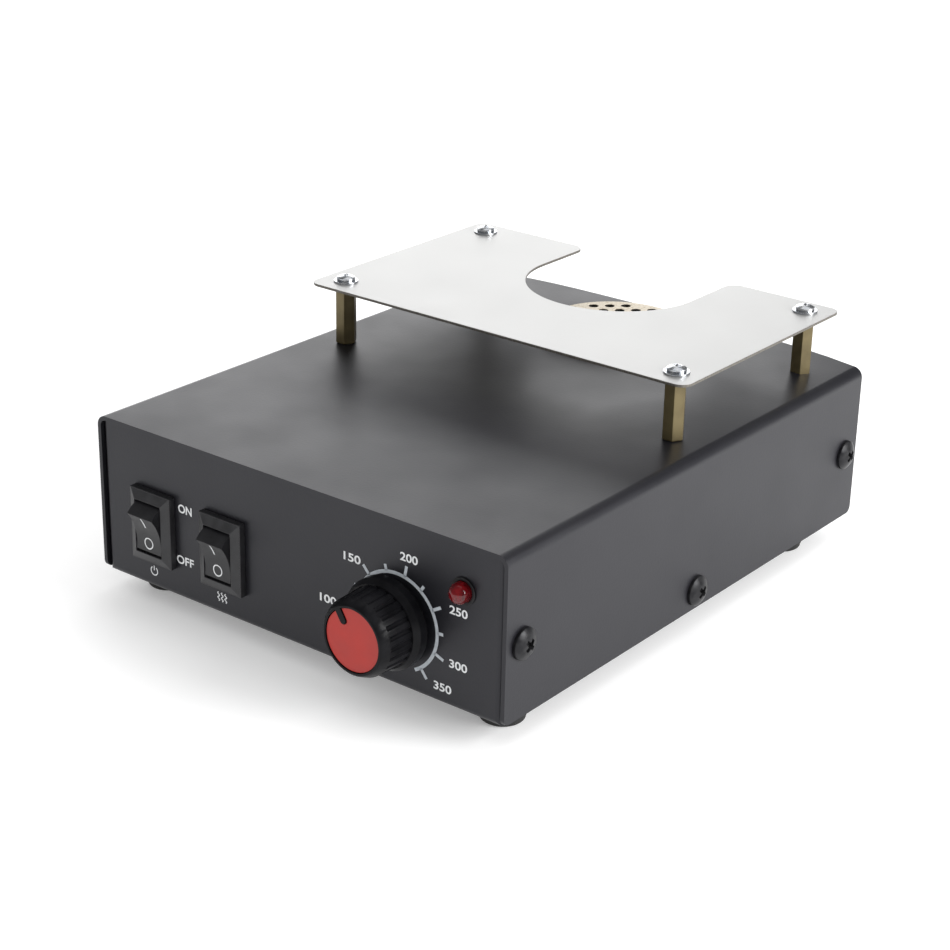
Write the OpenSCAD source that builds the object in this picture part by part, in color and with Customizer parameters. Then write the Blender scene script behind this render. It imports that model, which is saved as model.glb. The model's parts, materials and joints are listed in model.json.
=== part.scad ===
// Hot-air preheating stand for circuit boards: a folded sheet-metal box with a fan and a heater
// inside, an air outlet in its roof, and a steel work plate on four hex pillars above the outlet.
// Millimetres, +Z up, -Y is the front. The origin lies on the bench, at the middle of the footprint.

/* [Cover] */
// Width over the cover's side sheets
cover_w = 140; // [136:1:160]
// Depth of the cover from front edge to rear edge
cover_d = 170; // [168:1:200]
// Height of the box from the tray's underside to the roof
cover_h = 46.3; // [44:0.1:56]
// Sheet thickness of the cover and the tray
sheet_t = 1.2; // [0.8:0.1:1.5]
// Height of the cover's lower edges above the tray's underside
side_lift = 0.8; // [0.2:0.1:1.2]
// Outer radius of the cover's two long bends
cover_bend_r = 3; // [2:0.5:5]
// Radius of the lower corners of the side sheets
side_corner_r = 2; // [0.5:0.5:4]
// Slip gap between the tray and the cover
slip_gap = 0.2; // [0.1:0.05:0.4]

/* [Tray] */
// Outer radius of the tray's bends
tray_bend_r = 1.8; // [1.6:0.1:4]
// Depth of the front and rear panels inside the cover's edges
panel_recess = 0.5; // [0.3:0.1:3]
// Width of the side tabs that the cover is screwed to
tab_w = 11; // [9:1:14]
// Width of the lips under the roof
lip_w = 8; // [5:0.5:8]
// Length of the middle side tabs
mid_tab_len = 24; // [16:1:40]
// Height of the middle side tabs
mid_tab_h = 10; // [9:1:16]
// Gap between the rear lip and the outlet disc
lip_notch_gap = 2; // [1:0.5:4]
// Diameter of the intake holes under the fan
intake_hole_d = 4; // [3:0.5:5]
// Pitch of the intake holes
intake_pitch = 5.6; // [5.2:0.2:7]
// Unpierced rim of the floor inside the fan duct
intake_rim = 1; // [0.5:0.5:4]

/* [Cover screws] */
// Thread diameter of the cover screws
cover_screw_d = 4; // [3:0.5:4]
// Head diameter of the cover screws
cover_head_d = 8.6; // [7:0.2:10]
// Head height of the cover screws
cover_head_h = 2.5; // [1.6:0.1:3]
// Length of the cover screws under the head
cover_screw_len = 6; // [5:1:10]
// Height of the front and rear side screws above the tray's underside
end_screw_z = 21.3; // [14:0.1:26]
// Distance of those screws from the front and rear edges of the cover
end_screw_inset = 6.8; // [6.5:0.1:9]
// Height of the middle side screws above the tray's underside
mid_screw_z = 6.3; // [5:0.1:7]

/* [Feet] */
// Height of the rubber feet
foot_h = 6; // [5:0.5:10]
// Diameter of a foot under the tray
foot_top_d = 15; // [13:0.5:18]
// Diameter of a foot on the bench
foot_base_d = 12; // [11:0.5:14]
// Rounding of the foot's lower rim
foot_rim_r = 1; // [0.5:0.1:1.5]
// Distance of the feet from the sides of the cover
foot_side_inset = 11; // [11:1:20]
// Distance of the front feet from the front edge
foot_front_inset = 14; // [12:1:16]
// Distance of the rear feet from the rear edge
foot_rear_inset = 21; // [14:1:26]
// Diameter of the recess that hides the foot screw's head
foot_bore_d = 7.6; // [7.4:0.2:8.6]
// Rubber left above the recess
foot_web = 2; // [1.5:0.5:2.5]

/* [Work plate] */
// Width of the work plate
plate_w = 131; // [120:1:140]
// Depth of the work plate
plate_d = 82; // [76:1:90]
// Thickness of the work plate
plate_t = 0.8; // [0.6:0.1:2]
// Radius of the plate's outer corners
plate_corner_r = 3.5; // [2:0.5:7]
// Distance from the cover's rear edge to the plate's rear edge
plate_rear_gap = 7.7; // [3:0.1:12]
// Distance of the plate's screws from its edges
plate_hole_inset = 7.7; // [6:0.1:9]
// Width of the air window in the plate
window_w = 53; // [48:1:64]
// Depth of the air window from the plate's rear edge
window_d = 48.7; // [38:0.1:52]
// Offset of the window to the right of the plate's middle
window_shift = 2; // [0:0.1:4]
// Radius of the corners at the window's mouth
window_mouth_r = 4; // [1:0.5:5]

/* [Pillars] */
// Length of the hex pillars
pillar_len = 18; // [12:1:30]
// Width of the pillars across flats
pillar_af = 5.5; // [5:0.1:6]
// Length of the stud under a pillar
pillar_stud_len = 6; // [5:1:8]
// Depth of the tapped hole in a pillar's top
pillar_tap_depth = 9; // [8:0.5:10]
// Tapped depth left under a plate screw
tap_spare = 2; // [1:0.5:3]
// Turn of the cross recess of the plate screws
plate_screw_turn = 25; // [0:1:90]

/* [Small hardware] */
// Thread diameter of the pillars, the small screws and their nuts
small_thread_d = 3; // [2.5:0.5:3]
// Length of a small screw past its nut
screw_tail = 1; // [0.5:0.1:1.5]
// Head diameter of the small pan-head screws
small_head_d = 6; // [5.4:0.1:6.4]
// Head height of the small pan-head screws
small_head_h = 1.6; // [1.4:0.1:2.4]
// Width of the small nuts across flats
nut_af = 5.5; // [5:0.1:5.5]
// Thickness of the small nuts
nut_t = 2.4; // [1.6:0.1:2.6]
// Diameter of the plate washers
washer_d = 7.2; // [6.4:0.1:8]
// Thickness of the plate washers
washer_t = 0.5; // [0.4:0.1:1]
// Radial clearance of a screw in its hole
screw_gap = 0.1; // [0.05:0.05:0.2]
// Radial clearance of shafts and pins that turn
running_gap = 0.05; // [0.02:0.01:0.1]
// Clearance between seated pieces
seat_gap = 0.15; // [0.1:0.05:0.25]

/* [Air outlet] */
// Distance from the cover's rear edge to the middle of the outlet
outlet_rear_gap = 25; // [25:0.5:32]
// Diameter of the ceramic outlet disc
disc_d = 44; // [42:1:44]
// Thickness of the ceramic outlet disc
disc_t = 8; // [5:0.5:9]
// Height of the disc above the cover
disc_proud = 4; // [1:0.5:4.5]
// Diameter of the disc's air holes
disc_hole_d = 3; // [2:0.25:3.5]
// Pitch of the disc's air holes
disc_pitch = 5; // [4.5:0.25:6]
// Turn of the hole pattern about the outlet axis
disc_turn = 42; // [0:1:60]
// Unpierced rim of the disc inside the heater tube
disc_rim = 1; // [0.5:0.5:4]
// Chamfer of the disc's top rim
disc_chamfer = 0.6; // [0.2:0.1:1]

/* [Heater] */
// Outer diameter of the heater tube
can_d = 38; // [36:0.5:38]
// Outer diameter of the tube's flared mouth
mouth_d = 43; // [41:0.5:43]
// Height of the flare and of the straight mouth above it
flare_h = 5; // [4:0.5:7]
// Wall of the heater tube and its flange
can_t = 0.8; // [0.6:0.1:1]
// Depth of the disc's spigot in the tube
spigot_h = 2; // [1:0.5:3]
// Thickness of the mica boards
mica_t = 1; // [0.6:0.1:1.5]
// Height of the end bridges of the mica boards
mica_bridge_h = 2.5; // [2:0.5:3]
// Width of the mica boards where the coil is wound
mica_core_w = 25; // [20:1:28]
// Wire diameter of the heater coil
coil_wire_d = 1.2; // [0.8:0.1:1.6]
// Turns of the heater coil
coil_turns = 6; // [4:1:7]

/* [Fan] */
// Wall of the square fan frame beside its duct
fan_wall = 1.2; // [0.8:0.1:2]
// Thickness of the fan frame
fan_t = 15; // [13:1:16]
// Clearance between the heater tube and the fan's nuts
fan_nut_gap = 0.45; // [0.2:0.05:2]
// Distance of the fan's screws from the sides of its frame
fan_hole_edge = 4; // [3:0.5:5]
// Radius of the fan frame's corners
fan_corner_r = 3; // [1:0.5:3]
// Diameter of the fan duct
fan_duct_d = 37.6; // [36:0.2:37.6]
// Gap between blade tips and duct
fan_tip_gap = 0.8; // [0.5:0.1:1.5]
// Diameter of the rotor hub
fan_hub_d = 18; // [16:0.5:20]
// Number of rotor blades
fan_blades = 7; // [5:1:9]
// Pitch angle of the blades
fan_pitch = 38; // [28:1:45]
// Thickness of the blades
fan_blade_t = 1.2; // [0.8:0.1:1.6]
// Diameter of the rotor shaft
fan_shaft_d = 2; // [1.5:0.1:2.4]
// Height of the frame's motor base
fan_base_t = 2; // [1.5:0.5:2.5]

/* [Rocker switches] */
// Distance from the tray's left edge to the power switch
power_side_gap = 19.2; // [16:0.1:24]
// Distance between the power switch and the heater switch
switch_pitch = 25.8; // [24:0.1:30]
// Height of the switches and the dial above the tray's underside
control_z = 19; // [16:0.1:20]
// Width of a switch frame
bezel_w = 15; // [14:0.1:16]
// Height of a switch frame
bezel_h = 21; // [20:0.1:22]
// Radius of the frame's corners
bezel_corner_r = 0.6; // [0.3:0.1:1.5]
// Flat rim round the frame's sloping faces
bezel_rim = 0.35; // [0.3:0.05:0.8]
// Height of a switch frame's outer sides over the panel
bezel_t = 2; // [1.5:0.1:2.5]
// Rise of the frame's faces towards the rocker
bezel_rise = 1.1; // [0.6:0.1:1.4]
// Width of the rocker opening
rocker_slot_w = 9.6; // [9:0.1:10]
// Height of the rocker opening
rocker_slot_h = 15.2; // [14:0.1:15.6]
// Clearance round a rocker
rocker_gap = 0.2; // [0.15:0.05:0.3]
// Depth of the rocker's pivot behind the panel
rocker_pivot_depth = 0; // [0:0.1:3]
// Diameter of the pivot pins
rocker_pin_d = 2; // [1.6:0.1:2.4]
// Tilt of a rocker to each side
rocker_tilt = 15; // [8:1:15]
// Half the distance between the rocker's two finger edges
rocker_edge = 5.8; // [5:0.1:6]
// Hollow of the rocker's face
rocker_hollow = 1.2; // [0.6:0.1:1.6]
// Depth of the switch barrel behind the panel
barrel_depth = 14; // [12:0.5:18]
// Shoulder between the frame and the barrel
barrel_shoulder = 1.1; // [0.8:0.1:1.4]
// Thickness of the barrel's floor
barrel_floor = 3; // [2.5:0.5:4]
// Length of the spade terminals
spade_len = 8; // [6:0.5:10]
// Width of the spade terminals
spade_w = 4.8; // [2.8:0.1:5.2]
// Thickness of the spade terminals
spade_t = 0.8; // [0.5:0.1:0.8]

/* [Dial] */
// Distance from the tray's right edge to the dial
dial_side_gap = 33.6; // [30:0.1:38]
// Height of the knob's front face over the panel
knob_reach = 16.4; // [14:0.1:20]
// Gap between the knob and the panel
knob_lift = 2.4; // [1:0.1:3]
// Diameter of the knob's skirt
knob_skirt_d = 24.6; // [22:0.2:26]
// Thickness of the knob's skirt
knob_skirt_t = 4; // [2:0.1:4.5]
// Diameter of the ribbed grip at the skirt
knob_grip_d = 21.6; // [20:0.2:22]
// Diameter of the ribbed grip at its front shoulder
knob_shoulder_d = 21; // [20.2:0.2:21.6]
// Length of the sloping shoulder in front of the grip
knob_shoulder = 2.4; // [1.6:0.1:3]
// Diameter of the knob's front rim
knob_rim_d = 19.2; // [19:0.2:20]
// Number of grooves round the grip
knob_grooves = 24; // [12:1:30]
// Radius of a groove
knob_groove_r = 0.75; // [0.4:0.05:1]
// Diameter of the coloured cap
cap_d = 16.8; // [15:0.2:17.4]
// Thickness of the coloured cap
cap_t = 1.4; // [1:0.1:2]
// Width of the pointer
pointer_w = 1.8; // [1.2:0.1:2.4]
// Distance from the knob's axis to the pointer's inner end
pointer_start = 5.4; // [2:0.1:6]
// Angle of the pointer at rest, anticlockwise from straight up
pointer_angle = 32; // [0:1:60]
// Depth of the cap's face under the knob's rim
cap_sink = 0.3; // [0:0.1:0.6]
// Diameter of the control's shaft
shaft_d = 6; // [5:0.1:6.35]
// Diameter of the control's threaded bush
bush_d = 7.5; // [7.2:0.1:8]
// Diameter of the control's body
pot_d = 17; // [15:0.5:20]
// Depth of the control's body
pot_depth = 9; // [7:0.5:12]
// Width of the bush nut across flats
pot_nut_af = 10; // [10:0.5:12]
// Thickness of the bush nut
pot_nut_t = 2; // [1.5:0.1:2.5]
// Diameter of the bush washer
pot_washer_d = 12; // [11:0.5:13]
// Thickness of the bush washer
pot_washer_t = 0.6; // [0.4:0.1:0.8]

/* [Lamp] */
// Distance from the tray's right edge to the lamp
lamp_side_gap = 12.1; // [11:0.1:16]
// Height of the lamp above the tray's underside
lamp_z = 33.3; // [28:0.1:34]
// Diameter of the lamp
lamp_d = 5.5; // [3:0.5:5.5]
// Projection of the lamp from the panel
lamp_reach = 4.4; // [3:0.1:5]
// Length of the lamp behind the panel
lamp_back = 5; // [4.5:0.5:8]
// Length of the lamp's collar behind the panel
collar_depth = 4; // [2:0.5:4]
// Wall of the lamp's collar
collar_wall = 0.5; // [0.4:0.1:1]
// Thickness of the collar's flange
collar_flange = 0.5; // [0.4:0.1:1]
// Overhang of the collar's flange past its tube
collar_lip = 0.4; // [0.3:0.05:0.6]

/* [Mains inlet] */
// Distance from the tray's left edge, seen from the front, to the inlet
inlet_side_gap = 28.6; // [27.6:0.1:31]
// Height of the inlet above the tray's underside
inlet_z = 23; // [18:0.5:26]
// Width of the inlet's flange
inlet_flange_w = 49; // [48:0.5:50]
// Height of the inlet's flange
inlet_flange_h = 22.5; // [22:0.5:25]
// Radius of the flange's corners
inlet_corner_r = 4; // [2:0.5:6]
// Thickness of the inlet's flange
inlet_flange_t = 3; // [2:0.5:4]
// Width of the inlet's body
inlet_body_w = 27.2; // [27:0.1:28]
// Height of the inlet's body
inlet_body_h = 19.8; // [19:0.1:20]
// Depth of the inlet's body behind the panel
inlet_depth = 20; // [18:0.5:22]
// Width of the plug opening
inlet_mouth_w = 24; // [23:0.1:24.4]
// Height of the plug opening
inlet_mouth_h = 16; // [15:0.1:16.4]
// Depth of the plug opening
inlet_mouth_depth = 16; // [14:0.5:17]
// Bevel of the plug opening's upper corners
inlet_bevel = 4.5; // [3:0.1:5]
// Distance of the flange screws
inlet_screw_pitch = 40; // [40:0.1:40.4]

/* [Electronics] */
// Width of the control board
board_w = 80; // [76:1:84]
// Depth of the control board
board_d = 58; // [56:1:62]
// Thickness of the control board
board_t = 1.6; // [1:0.1:2]
// Height of the spacers under the board
spacer_h = 6; // [5:0.5:10]
// Diameter of the spacers
spacer_d = 6; // [5.8:0.1:7]
// Distance of the board's screws from its edges
board_hole_inset = 4; // [3.5:0.5:5]
// Gap between the tray's left edge and the board
board_side_gap = 7; // [4:0.5:10]
// Gap between the front panel and the board
board_front_gap = 30; // [28:1:34]
// Radius of the board's corners
board_corner_r = 2; // [0.5:0.5:4]
// Width of the transformer's core
core_w = 30; // [26:1:32]
// Depth of the transformer's core
core_d = 18; // [14:1:20]
// Height of the transformer's core
core_h = 25; // [20:1:26]
// Width of the core's outer legs and yokes
core_leg_w = 4.75; // [4:0.25:5]
// Winding outside the core on each side
winding_over = 5; // [4:0.5:6]
// Width of the heat sink
sink_w = 26; // [20:1:30]
// Depth of the heat sink
sink_d = 12; // [10:1:14]
// Height of the heat sink
sink_h = 22; // [18:1:25]
// Number of heat sink fins
sink_fins = 6; // [4:1:7]
// Diameter of the capacitors
cap_can_d = 10; // [8:0.5:11]
// Height of the capacitors
cap_can_h = 16; // [12:1:20]
// Number of ways of the terminal block
block_ways = 8; // [4:1:9]
// Pitch of the terminal block
block_pitch = 5; // [5:0.1:5.1]

/* [Hidden] */
$fn = 64;
// overlap of a cutting shape past the face that it cuts
cut = 1;
black_coat = [0.17, 0.17, 0.18];
steel = [0.82, 0.82, 0.80];
zinc = [0.75, 0.76, 0.78];
brass = [0.72, 0.60, 0.33];
black_plastic = [0.08, 0.08, 0.09];
rubber = [0.06, 0.06, 0.06];
ceramic = [0.90, 0.85, 0.74];
mica = [0.70, 0.62, 0.45];
rotor_black = [0.12, 0.12, 0.13];
cap_red = [0.76, 0.25, 0.22];
lamp_red = [0.55, 0.05, 0.06];
board_green = [0.10, 0.32, 0.18];
core_grey = [0.35, 0.36, 0.38];
tape_yellow = [0.75, 0.62, 0.25];
sink_grey = [0.55, 0.56, 0.58];
sleeve_blue = [0.10, 0.12, 0.30];
block_green = [0.10, 0.40, 0.20];

tray_w = cover_w - 2*(sheet_t + slip_gap);
panel_y = cover_d/2 - panel_recess;
panel_h = cover_h - sheet_t - slip_gap;
power_x = power_side_gap - tray_w/2;
heater_x = power_x + switch_pitch;
dial_x = tray_w/2 - dial_side_gap;
lamp_x = tray_w/2 - lamp_side_gap;
inlet_x = inlet_side_gap - tray_w/2;
outlet_y = cover_d/2 - outlet_rear_gap;
plate_y = cover_d/2 - plate_rear_gap - plate_d/2;
plate_z = cover_h + pillar_len;
plate_hole_x = plate_w/2 - plate_hole_inset;
plate_hole_y = plate_d/2 - plate_hole_inset;
plate_corners = [for (y = [-1, 1], x = [-1, 1]) [x*plate_hole_x, plate_y + y*plate_hole_y]];
foot_x = cover_w/2 - foot_side_inset;
foot_front_y = foot_front_inset - cover_d/2;
foot_rear_y = cover_d/2 - foot_rear_inset;
foot_spots = [for (y = [foot_front_y, foot_rear_y], x = [-foot_x, foot_x]) [x, y]];
end_screw_y = cover_d/2 - end_screw_inset;
side_screws = [[-end_screw_y, end_screw_z], [0, mid_screw_z], [end_screw_y, end_screw_z]];
disc_z = cover_h + disc_proud - disc_t;
// the fan's screws stand outside the heater tube and the duct, and the frame reaches round them all
fan_nut_r = nut_af/2/cos(30);
fan_screw_r = max(can_d/2 + fan_nut_r + fan_nut_gap, fan_duct_d/2 + small_thread_d/2 + fan_wall);
fan_hole_pitch = fan_screw_r*sqrt(2);
fan_w = max(fan_duct_d + 2*fan_wall, fan_hole_pitch + 2*fan_hole_edge);
flange_z = sheet_t + fan_t;
can_z = flange_z + can_t;
fan_corners = [for (y = [-1, 1], x = [-1, 1]) [x*fan_hole_pitch/2, outlet_y + y*fan_hole_pitch/2]];
board_x = board_side_gap + board_w/2 - tray_w/2;
board_y = board_front_gap + board_d/2 - panel_y;
board_z = sheet_t + spacer_h;
board_top = board_z + board_t;
board_corners = [for (y = [-1, 1], x = [-1, 1])
    [board_x + x*(board_w/2 - board_hole_inset), board_y + y*(board_d/2 - board_hole_inset)]];
// proportions of a pan head: height of its rim, and floor, width and length of its cross recess
head_rim = 0.35;
recess_floor = 0.4;
recess_w = 0.2;
recess_len = 0.68;
rocker_r = rocker_slot_h/2 - rocker_gap;
rocker_w = rocker_slot_w - 2*rocker_gap;
// length of a rocker below its pivot, and of a spade inside its barrel
rocker_foot = 1.8;
spade_seat = 2;
barrel_w = bezel_w - 2*barrel_shoulder;
barrel_h = bezel_h - 2*barrel_shoulder;
pin_reach = (rocker_slot_w + barrel_w)/4;
inlet_pin_w = 2;
inlet_pin_h = 4;
inlet_pin_pitch = 7;
inlet_pin_tail = 6;
inlet_floor = inlet_flange_t - inlet_mouth_depth;
// live and neutral sit low and outside, earth sits high in the middle
inlet_pins_at = [[-inlet_pin_pitch, -inlet_pin_h/2], [inlet_pin_pitch, -inlet_pin_h/2],
    [0, inlet_pin_h/2]];
front_reach = panel_y + knob_reach;
rear_reach = panel_y + inlet_flange_t + small_head_h;
place_y = (front_reach - rear_reach)/2;

// Frames: the box stands on its feet, and fittings are drawn flat with +Z pointing out of their panel
module in_place() translate([0, place_y, foot_h]) children();
module on_front(x, z) in_place() translate([x, -panel_y, z]) rotate([90, 0, 0]) children();
module on_rear(x, z) in_place() translate([x, panel_y, z]) rotate([90, 0, 180]) children();
module at_each(spots, z) in_place() for (spot = spots) translate([spot.x, spot.y, z]) children();

// Shared shapes
module rounded_rect(w, d, r) {
    square([w - 2*r, d], center = true);
    square([w, d - 2*r], center = true);
    for (x = [-1, 1], y = [-1, 1]) translate([x*(w/2 - r), y*(d/2 - r)]) circle(r);
}

// block with its two long top edges rounded
module roof_block(w, d, h, r) {
    translate([-w/2, -d/2, 0]) cube([w, d, h - r]);
    translate([r - w/2, -d/2, 0]) cube([w - 2*r, d, h]);
    for (side = [-1, 1]) translate([side*(w/2 - r), d/2, h - r]) rotate([90, 0, 0]) cylinder(r = r, h = d);
}

// block with its front and rear bottom edges rounded
module trough_block(w, d, h, r) {
    translate([-w/2, -d/2, r]) cube([w, d, h - r]);
    translate([-w/2, r - d/2, 0]) cube([w, d - 2*r, h]);
    for (end = [-1, 1]) translate([-w/2, end*(d/2 - r), r]) rotate([0, 90, 0]) cylinder(r = r, h = w);
}

// what is cut off to round an edge along X, with the metal towards +Y and +Z
module edge_trim(len, r) {
    difference() {
        translate([-len/2, -cut, -cut]) cube([len, r + cut, r + cut]);
        translate([-len/2 - cut, r, r]) rotate([0, 90, 0]) cylinder(r = r, h = len + 2*cut);
    }
}

// pan-head screw with a cross recess, head on z = 0, shank downwards
module pan_screw(d, len, head_d, head_h) {
    head_r = head_d/2;
    rim_h = head_h*head_rim;
    dome_h = head_h - rim_h;
    dome_r = (head_r*head_r + dome_h*dome_h)/(2*dome_h);
    slot_w = head_d*recess_w;
    slot_len = head_d*recess_len;
    difference() {
        union() {
            cylinder(r = head_r, h = rim_h);
            intersection() {
                cylinder(r = head_r, h = head_h);
                translate([0, 0, head_h - dome_r]) sphere(dome_r);
            }
            translate([0, 0, -len]) cylinder(d = d, h = len);
        }
        for (turn = [0, 90]) rotate(turn) translate([-slot_len/2, -slot_w/2, head_h*recess_floor])
            cube([slot_len, slot_w, head_h]);
    }
}

module hex_bar(af, h) cylinder(d = af/cos(30), h = h, $fn = 6);

// hole for a screw through a thickness that starts at z = 0
module screw_hole(d, t) translate([0, 0, -cut]) cylinder(d = d + 2*screw_gap, h = t + 2*cut);

// holes through a panel whose outer face is z = 0
module panel_hole(d) translate([0, 0, -sheet_t - cut]) cylinder(d = d, h = sheet_t + 2*cut);
module panel_window(w, h) {
    translate([0, 0, -sheet_t - cut]) linear_extrude(sheet_t + 2*cut)
        square([w + 2*seat_gap, h + 2*seat_gap], center = true);
}

module hex_nut(d, af, h) {
    difference() {
        hex_bar(af, h);
        screw_hole(d, h);
    }
}

// hexagonal grid of round holes inside a circle
module hole_field(field_r, pitch, hole_d, h) {
    rows = ceil(field_r/pitch) + 1;
    for (row = [-rows : rows], col = [-2*rows : 2*rows]) {
        x = (col + row/2)*pitch;
        y = row*pitch*sin(60);
        if (norm([x, y]) + hole_d/2 <= field_r) translate([x, y, 0]) cylinder(d = hole_d, h = h);
    }
}

// Folded tray: floor, front panel and rear panel in one sheet, with lips and side tabs for the cover
module base_tray() {
    color(black_coat) difference() {
        in_place() intersection() {
            roof_block(tray_w, cover_d, panel_h, cover_bend_r - sheet_t - slip_gap);
            linear_extrude(panel_h) rounded_rect(tray_w, 2*panel_y, tray_bend_r);
            union() {
                tray_sheet();
                for (end = [-1, 1]) tray_lip(end);
                for (side = [-1, 1]) {
                    for (end = [-1, 1])
                        tray_tab(side, end*(panel_y - tab_w/2), tab_w, mid_tab_h, panel_h - mid_tab_h);
                    tray_tab(side, 0, mid_tab_len, 0, mid_tab_h);
                }
            }
        }
        side_holes();
        for (x = [power_x, heater_x]) on_front(x, control_z) panel_window(barrel_w, barrel_h);
        on_front(dial_x, control_z) panel_hole(bush_d + 2*seat_gap);
        on_front(lamp_x, lamp_z) panel_hole(lamp_d + 2*(collar_wall + running_gap + seat_gap));
        on_rear(inlet_x, inlet_z) {
            panel_window(inlet_body_w, inlet_body_h);
            for (x = [-1, 1]) translate([x*inlet_screw_pitch/2, 0, -sheet_t])
                screw_hole(small_thread_d, sheet_t);
        }
        at_each(concat(foot_spots, fan_corners, board_corners), 0) screw_hole(small_thread_d, sheet_t);
        at_each([[0, outlet_y]], -cut)
            hole_field(fan_duct_d/2 - intake_rim, intake_pitch, intake_hole_d, sheet_t + 2*cut);
    }
}

// floor and the two upright panels, bent from one sheet
module tray_sheet() {
    difference() {
        trough_block(tray_w, 2*panel_y, panel_h, tray_bend_r);
        translate([0, 0, sheet_t])
            trough_block(tray_w + 2*cut, 2*(panel_y - sheet_t), panel_h, tray_bend_r - sheet_t);
    }
}

// lip under the roof along the top of a panel, cut away behind the outlet
module tray_lip(end) {
    notch_w = disc_d + 2*lip_notch_gap;
    difference() {
        translate([-tray_w/2, end*(panel_y - lip_w/2) - lip_w/2, panel_h - sheet_t])
            cube([tray_w, lip_w, sheet_t]);
        translate([-notch_w/2, outlet_y, panel_h - sheet_t - cut])
            cube([notch_w, panel_y - sheet_t - outlet_y, sheet_t + 2*cut]);
    }
}

// upright tab along a side sheet of the cover
module tray_tab(side, y, len, low, high) {
    translate([side*(tray_w - sheet_t)/2 - sheet_t/2, y - len/2, low]) cube([sheet_t, len, high - low]);
}

// round holes for the side screws, right through the cover and the tray's tabs
module side_holes() {
    in_place() for (spot = side_screws) translate([-cover_w/2 - cut, spot.x, spot.y])
        rotate([0, 90, 0]) cylinder(d = cover_screw_d + 2*screw_gap, h = cover_w + 2*cut);
}

// Cover: one sheet folded into a roof and two sides
module top_cover() {
    color(black_coat) difference() {
        in_place() difference() {
            translate([0, 0, side_lift]) roof_block(cover_w, cover_d, cover_h - side_lift, cover_bend_r);
            translate([0, 0, -cut]) roof_block(cover_w - 2*sheet_t, cover_d + 2*cut,
                cover_h + cut - sheet_t, cover_bend_r - sheet_t);
            for (end = [0, 1]) mirror([0, end, 0]) translate([0, -cover_d/2, side_lift])
                edge_trim(cover_w + 2*cut, side_corner_r);
            translate([0, outlet_y, cover_h]) panel_hole(disc_d + 2*seat_gap);
        }
        side_holes();
        at_each(plate_corners, cover_h - sheet_t) screw_hole(small_thread_d, sheet_t);
    }
}

module cover_screws() {
    color(black_plastic) in_place() for (spot = side_screws, side = [-1, 1])
        translate([side*cover_w/2, spot.x, spot.y]) rotate([0, side*90, 0])
            pan_screw(cover_screw_d, cover_screw_len, cover_head_d, cover_head_h);
}

// Rubber foot: a turned cone with a rounded rim and a deep recess for its screw
module foot(spot) {
    base_r = foot_base_d/2;
    color(rubber) in_place() translate([spot.x, spot.y, -foot_h]) difference() {
        union() {
            rotate_extrude()
                polygon([[0, foot_rim_r], [base_r, foot_rim_r], [foot_top_d/2, foot_h], [0, foot_h]]);
            cylinder(r = base_r - foot_rim_r, h = foot_rim_r);
            translate([0, 0, foot_rim_r]) rotate_extrude() translate([base_r - foot_rim_r, 0])
                intersection() {
                    circle(foot_rim_r);
                    translate([0, -foot_rim_r]) square(foot_rim_r);
                }
        }
        translate([0, 0, -cut]) cylinder(d = foot_bore_d, h = foot_h - foot_web + cut);
        screw_hole(small_thread_d, foot_h);
    }
}
module foot_front_left() foot(foot_spots[0]);
module foot_front_right() foot(foot_spots[1]);
module foot_rear_left() foot(foot_spots[2]);
module foot_rear_right() foot(foot_spots[3]);

module foot_screws() {
    color(zinc) at_each(foot_spots, -foot_web) rotate([180, 0, 0])
        pan_screw(small_thread_d, foot_web + sheet_t + nut_t + screw_tail, small_head_d, small_head_h);
}
module foot_nuts() color(zinc) at_each(foot_spots, sheet_t) hex_nut(small_thread_d, nut_af, nut_t);

// Hex pillar: brass, tapped at the top for the plate screw, with a stud through the roof
module pillar(spot) {
    color(brass) in_place() translate([spot.x, spot.y, cover_h]) difference() {
        union() {
            hex_bar(pillar_af, pillar_len);
            translate([0, 0, -pillar_stud_len]) cylinder(d = small_thread_d, h = pillar_stud_len);
        }
        translate([0, 0, pillar_len - pillar_tap_depth])
            cylinder(d = small_thread_d + 2*screw_gap, h = pillar_tap_depth + cut);
    }
}
module pillar_front_left() pillar(plate_corners[0]);
module pillar_front_right() pillar(plate_corners[1]);
module pillar_rear_left() pillar(plate_corners[2]);
module pillar_rear_right() pillar(plate_corners[3]);
module pillar_nuts() {
    color(zinc) at_each(plate_corners, cover_h - sheet_t - nut_t) hex_nut(small_thread_d, nut_af, nut_t);
}

// Work plate: steel sheet with round corners and an air window that opens to the rear
module work_plate() {
    window_r = window_w/2;
    color(steel) in_place() translate([0, plate_y, plate_z]) linear_extrude(plate_t) difference() {
        rounded_rect(plate_w, plate_d, plate_corner_r);
        translate([window_shift, plate_d/2 - window_d + window_r]) {
            circle(window_r);
            translate([-window_r, 0]) square([window_w, window_d]);
        }
        translate([window_shift, plate_d/2]) for (side = [0, 1]) mirror([side, 0])
            translate([window_r, 0]) difference() {
                translate([-cut, -window_mouth_r]) square([window_mouth_r + cut, window_mouth_r + cut]);
                translate([window_mouth_r, -window_mouth_r]) circle(window_mouth_r);
            }
        for (x = [-1, 1], y = [-1, 1]) translate([x*plate_hole_x, y*plate_hole_y])
            circle(d = small_thread_d + 2*screw_gap);
    }
}
module plate_washers() {
    color(zinc) at_each(plate_corners, plate_z + plate_t) difference() {
        cylinder(d = washer_d, h = washer_t);
        screw_hole(small_thread_d, washer_t);
    }
}
module plate_screws() {
    screw_len = washer_t + plate_t + pillar_tap_depth - tap_spare;
    color(zinc) at_each(plate_corners, plate_z + plate_t + washer_t) rotate(plate_screw_turn)
        pan_screw(small_thread_d, screw_len, small_head_d, small_head_h);
}

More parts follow.
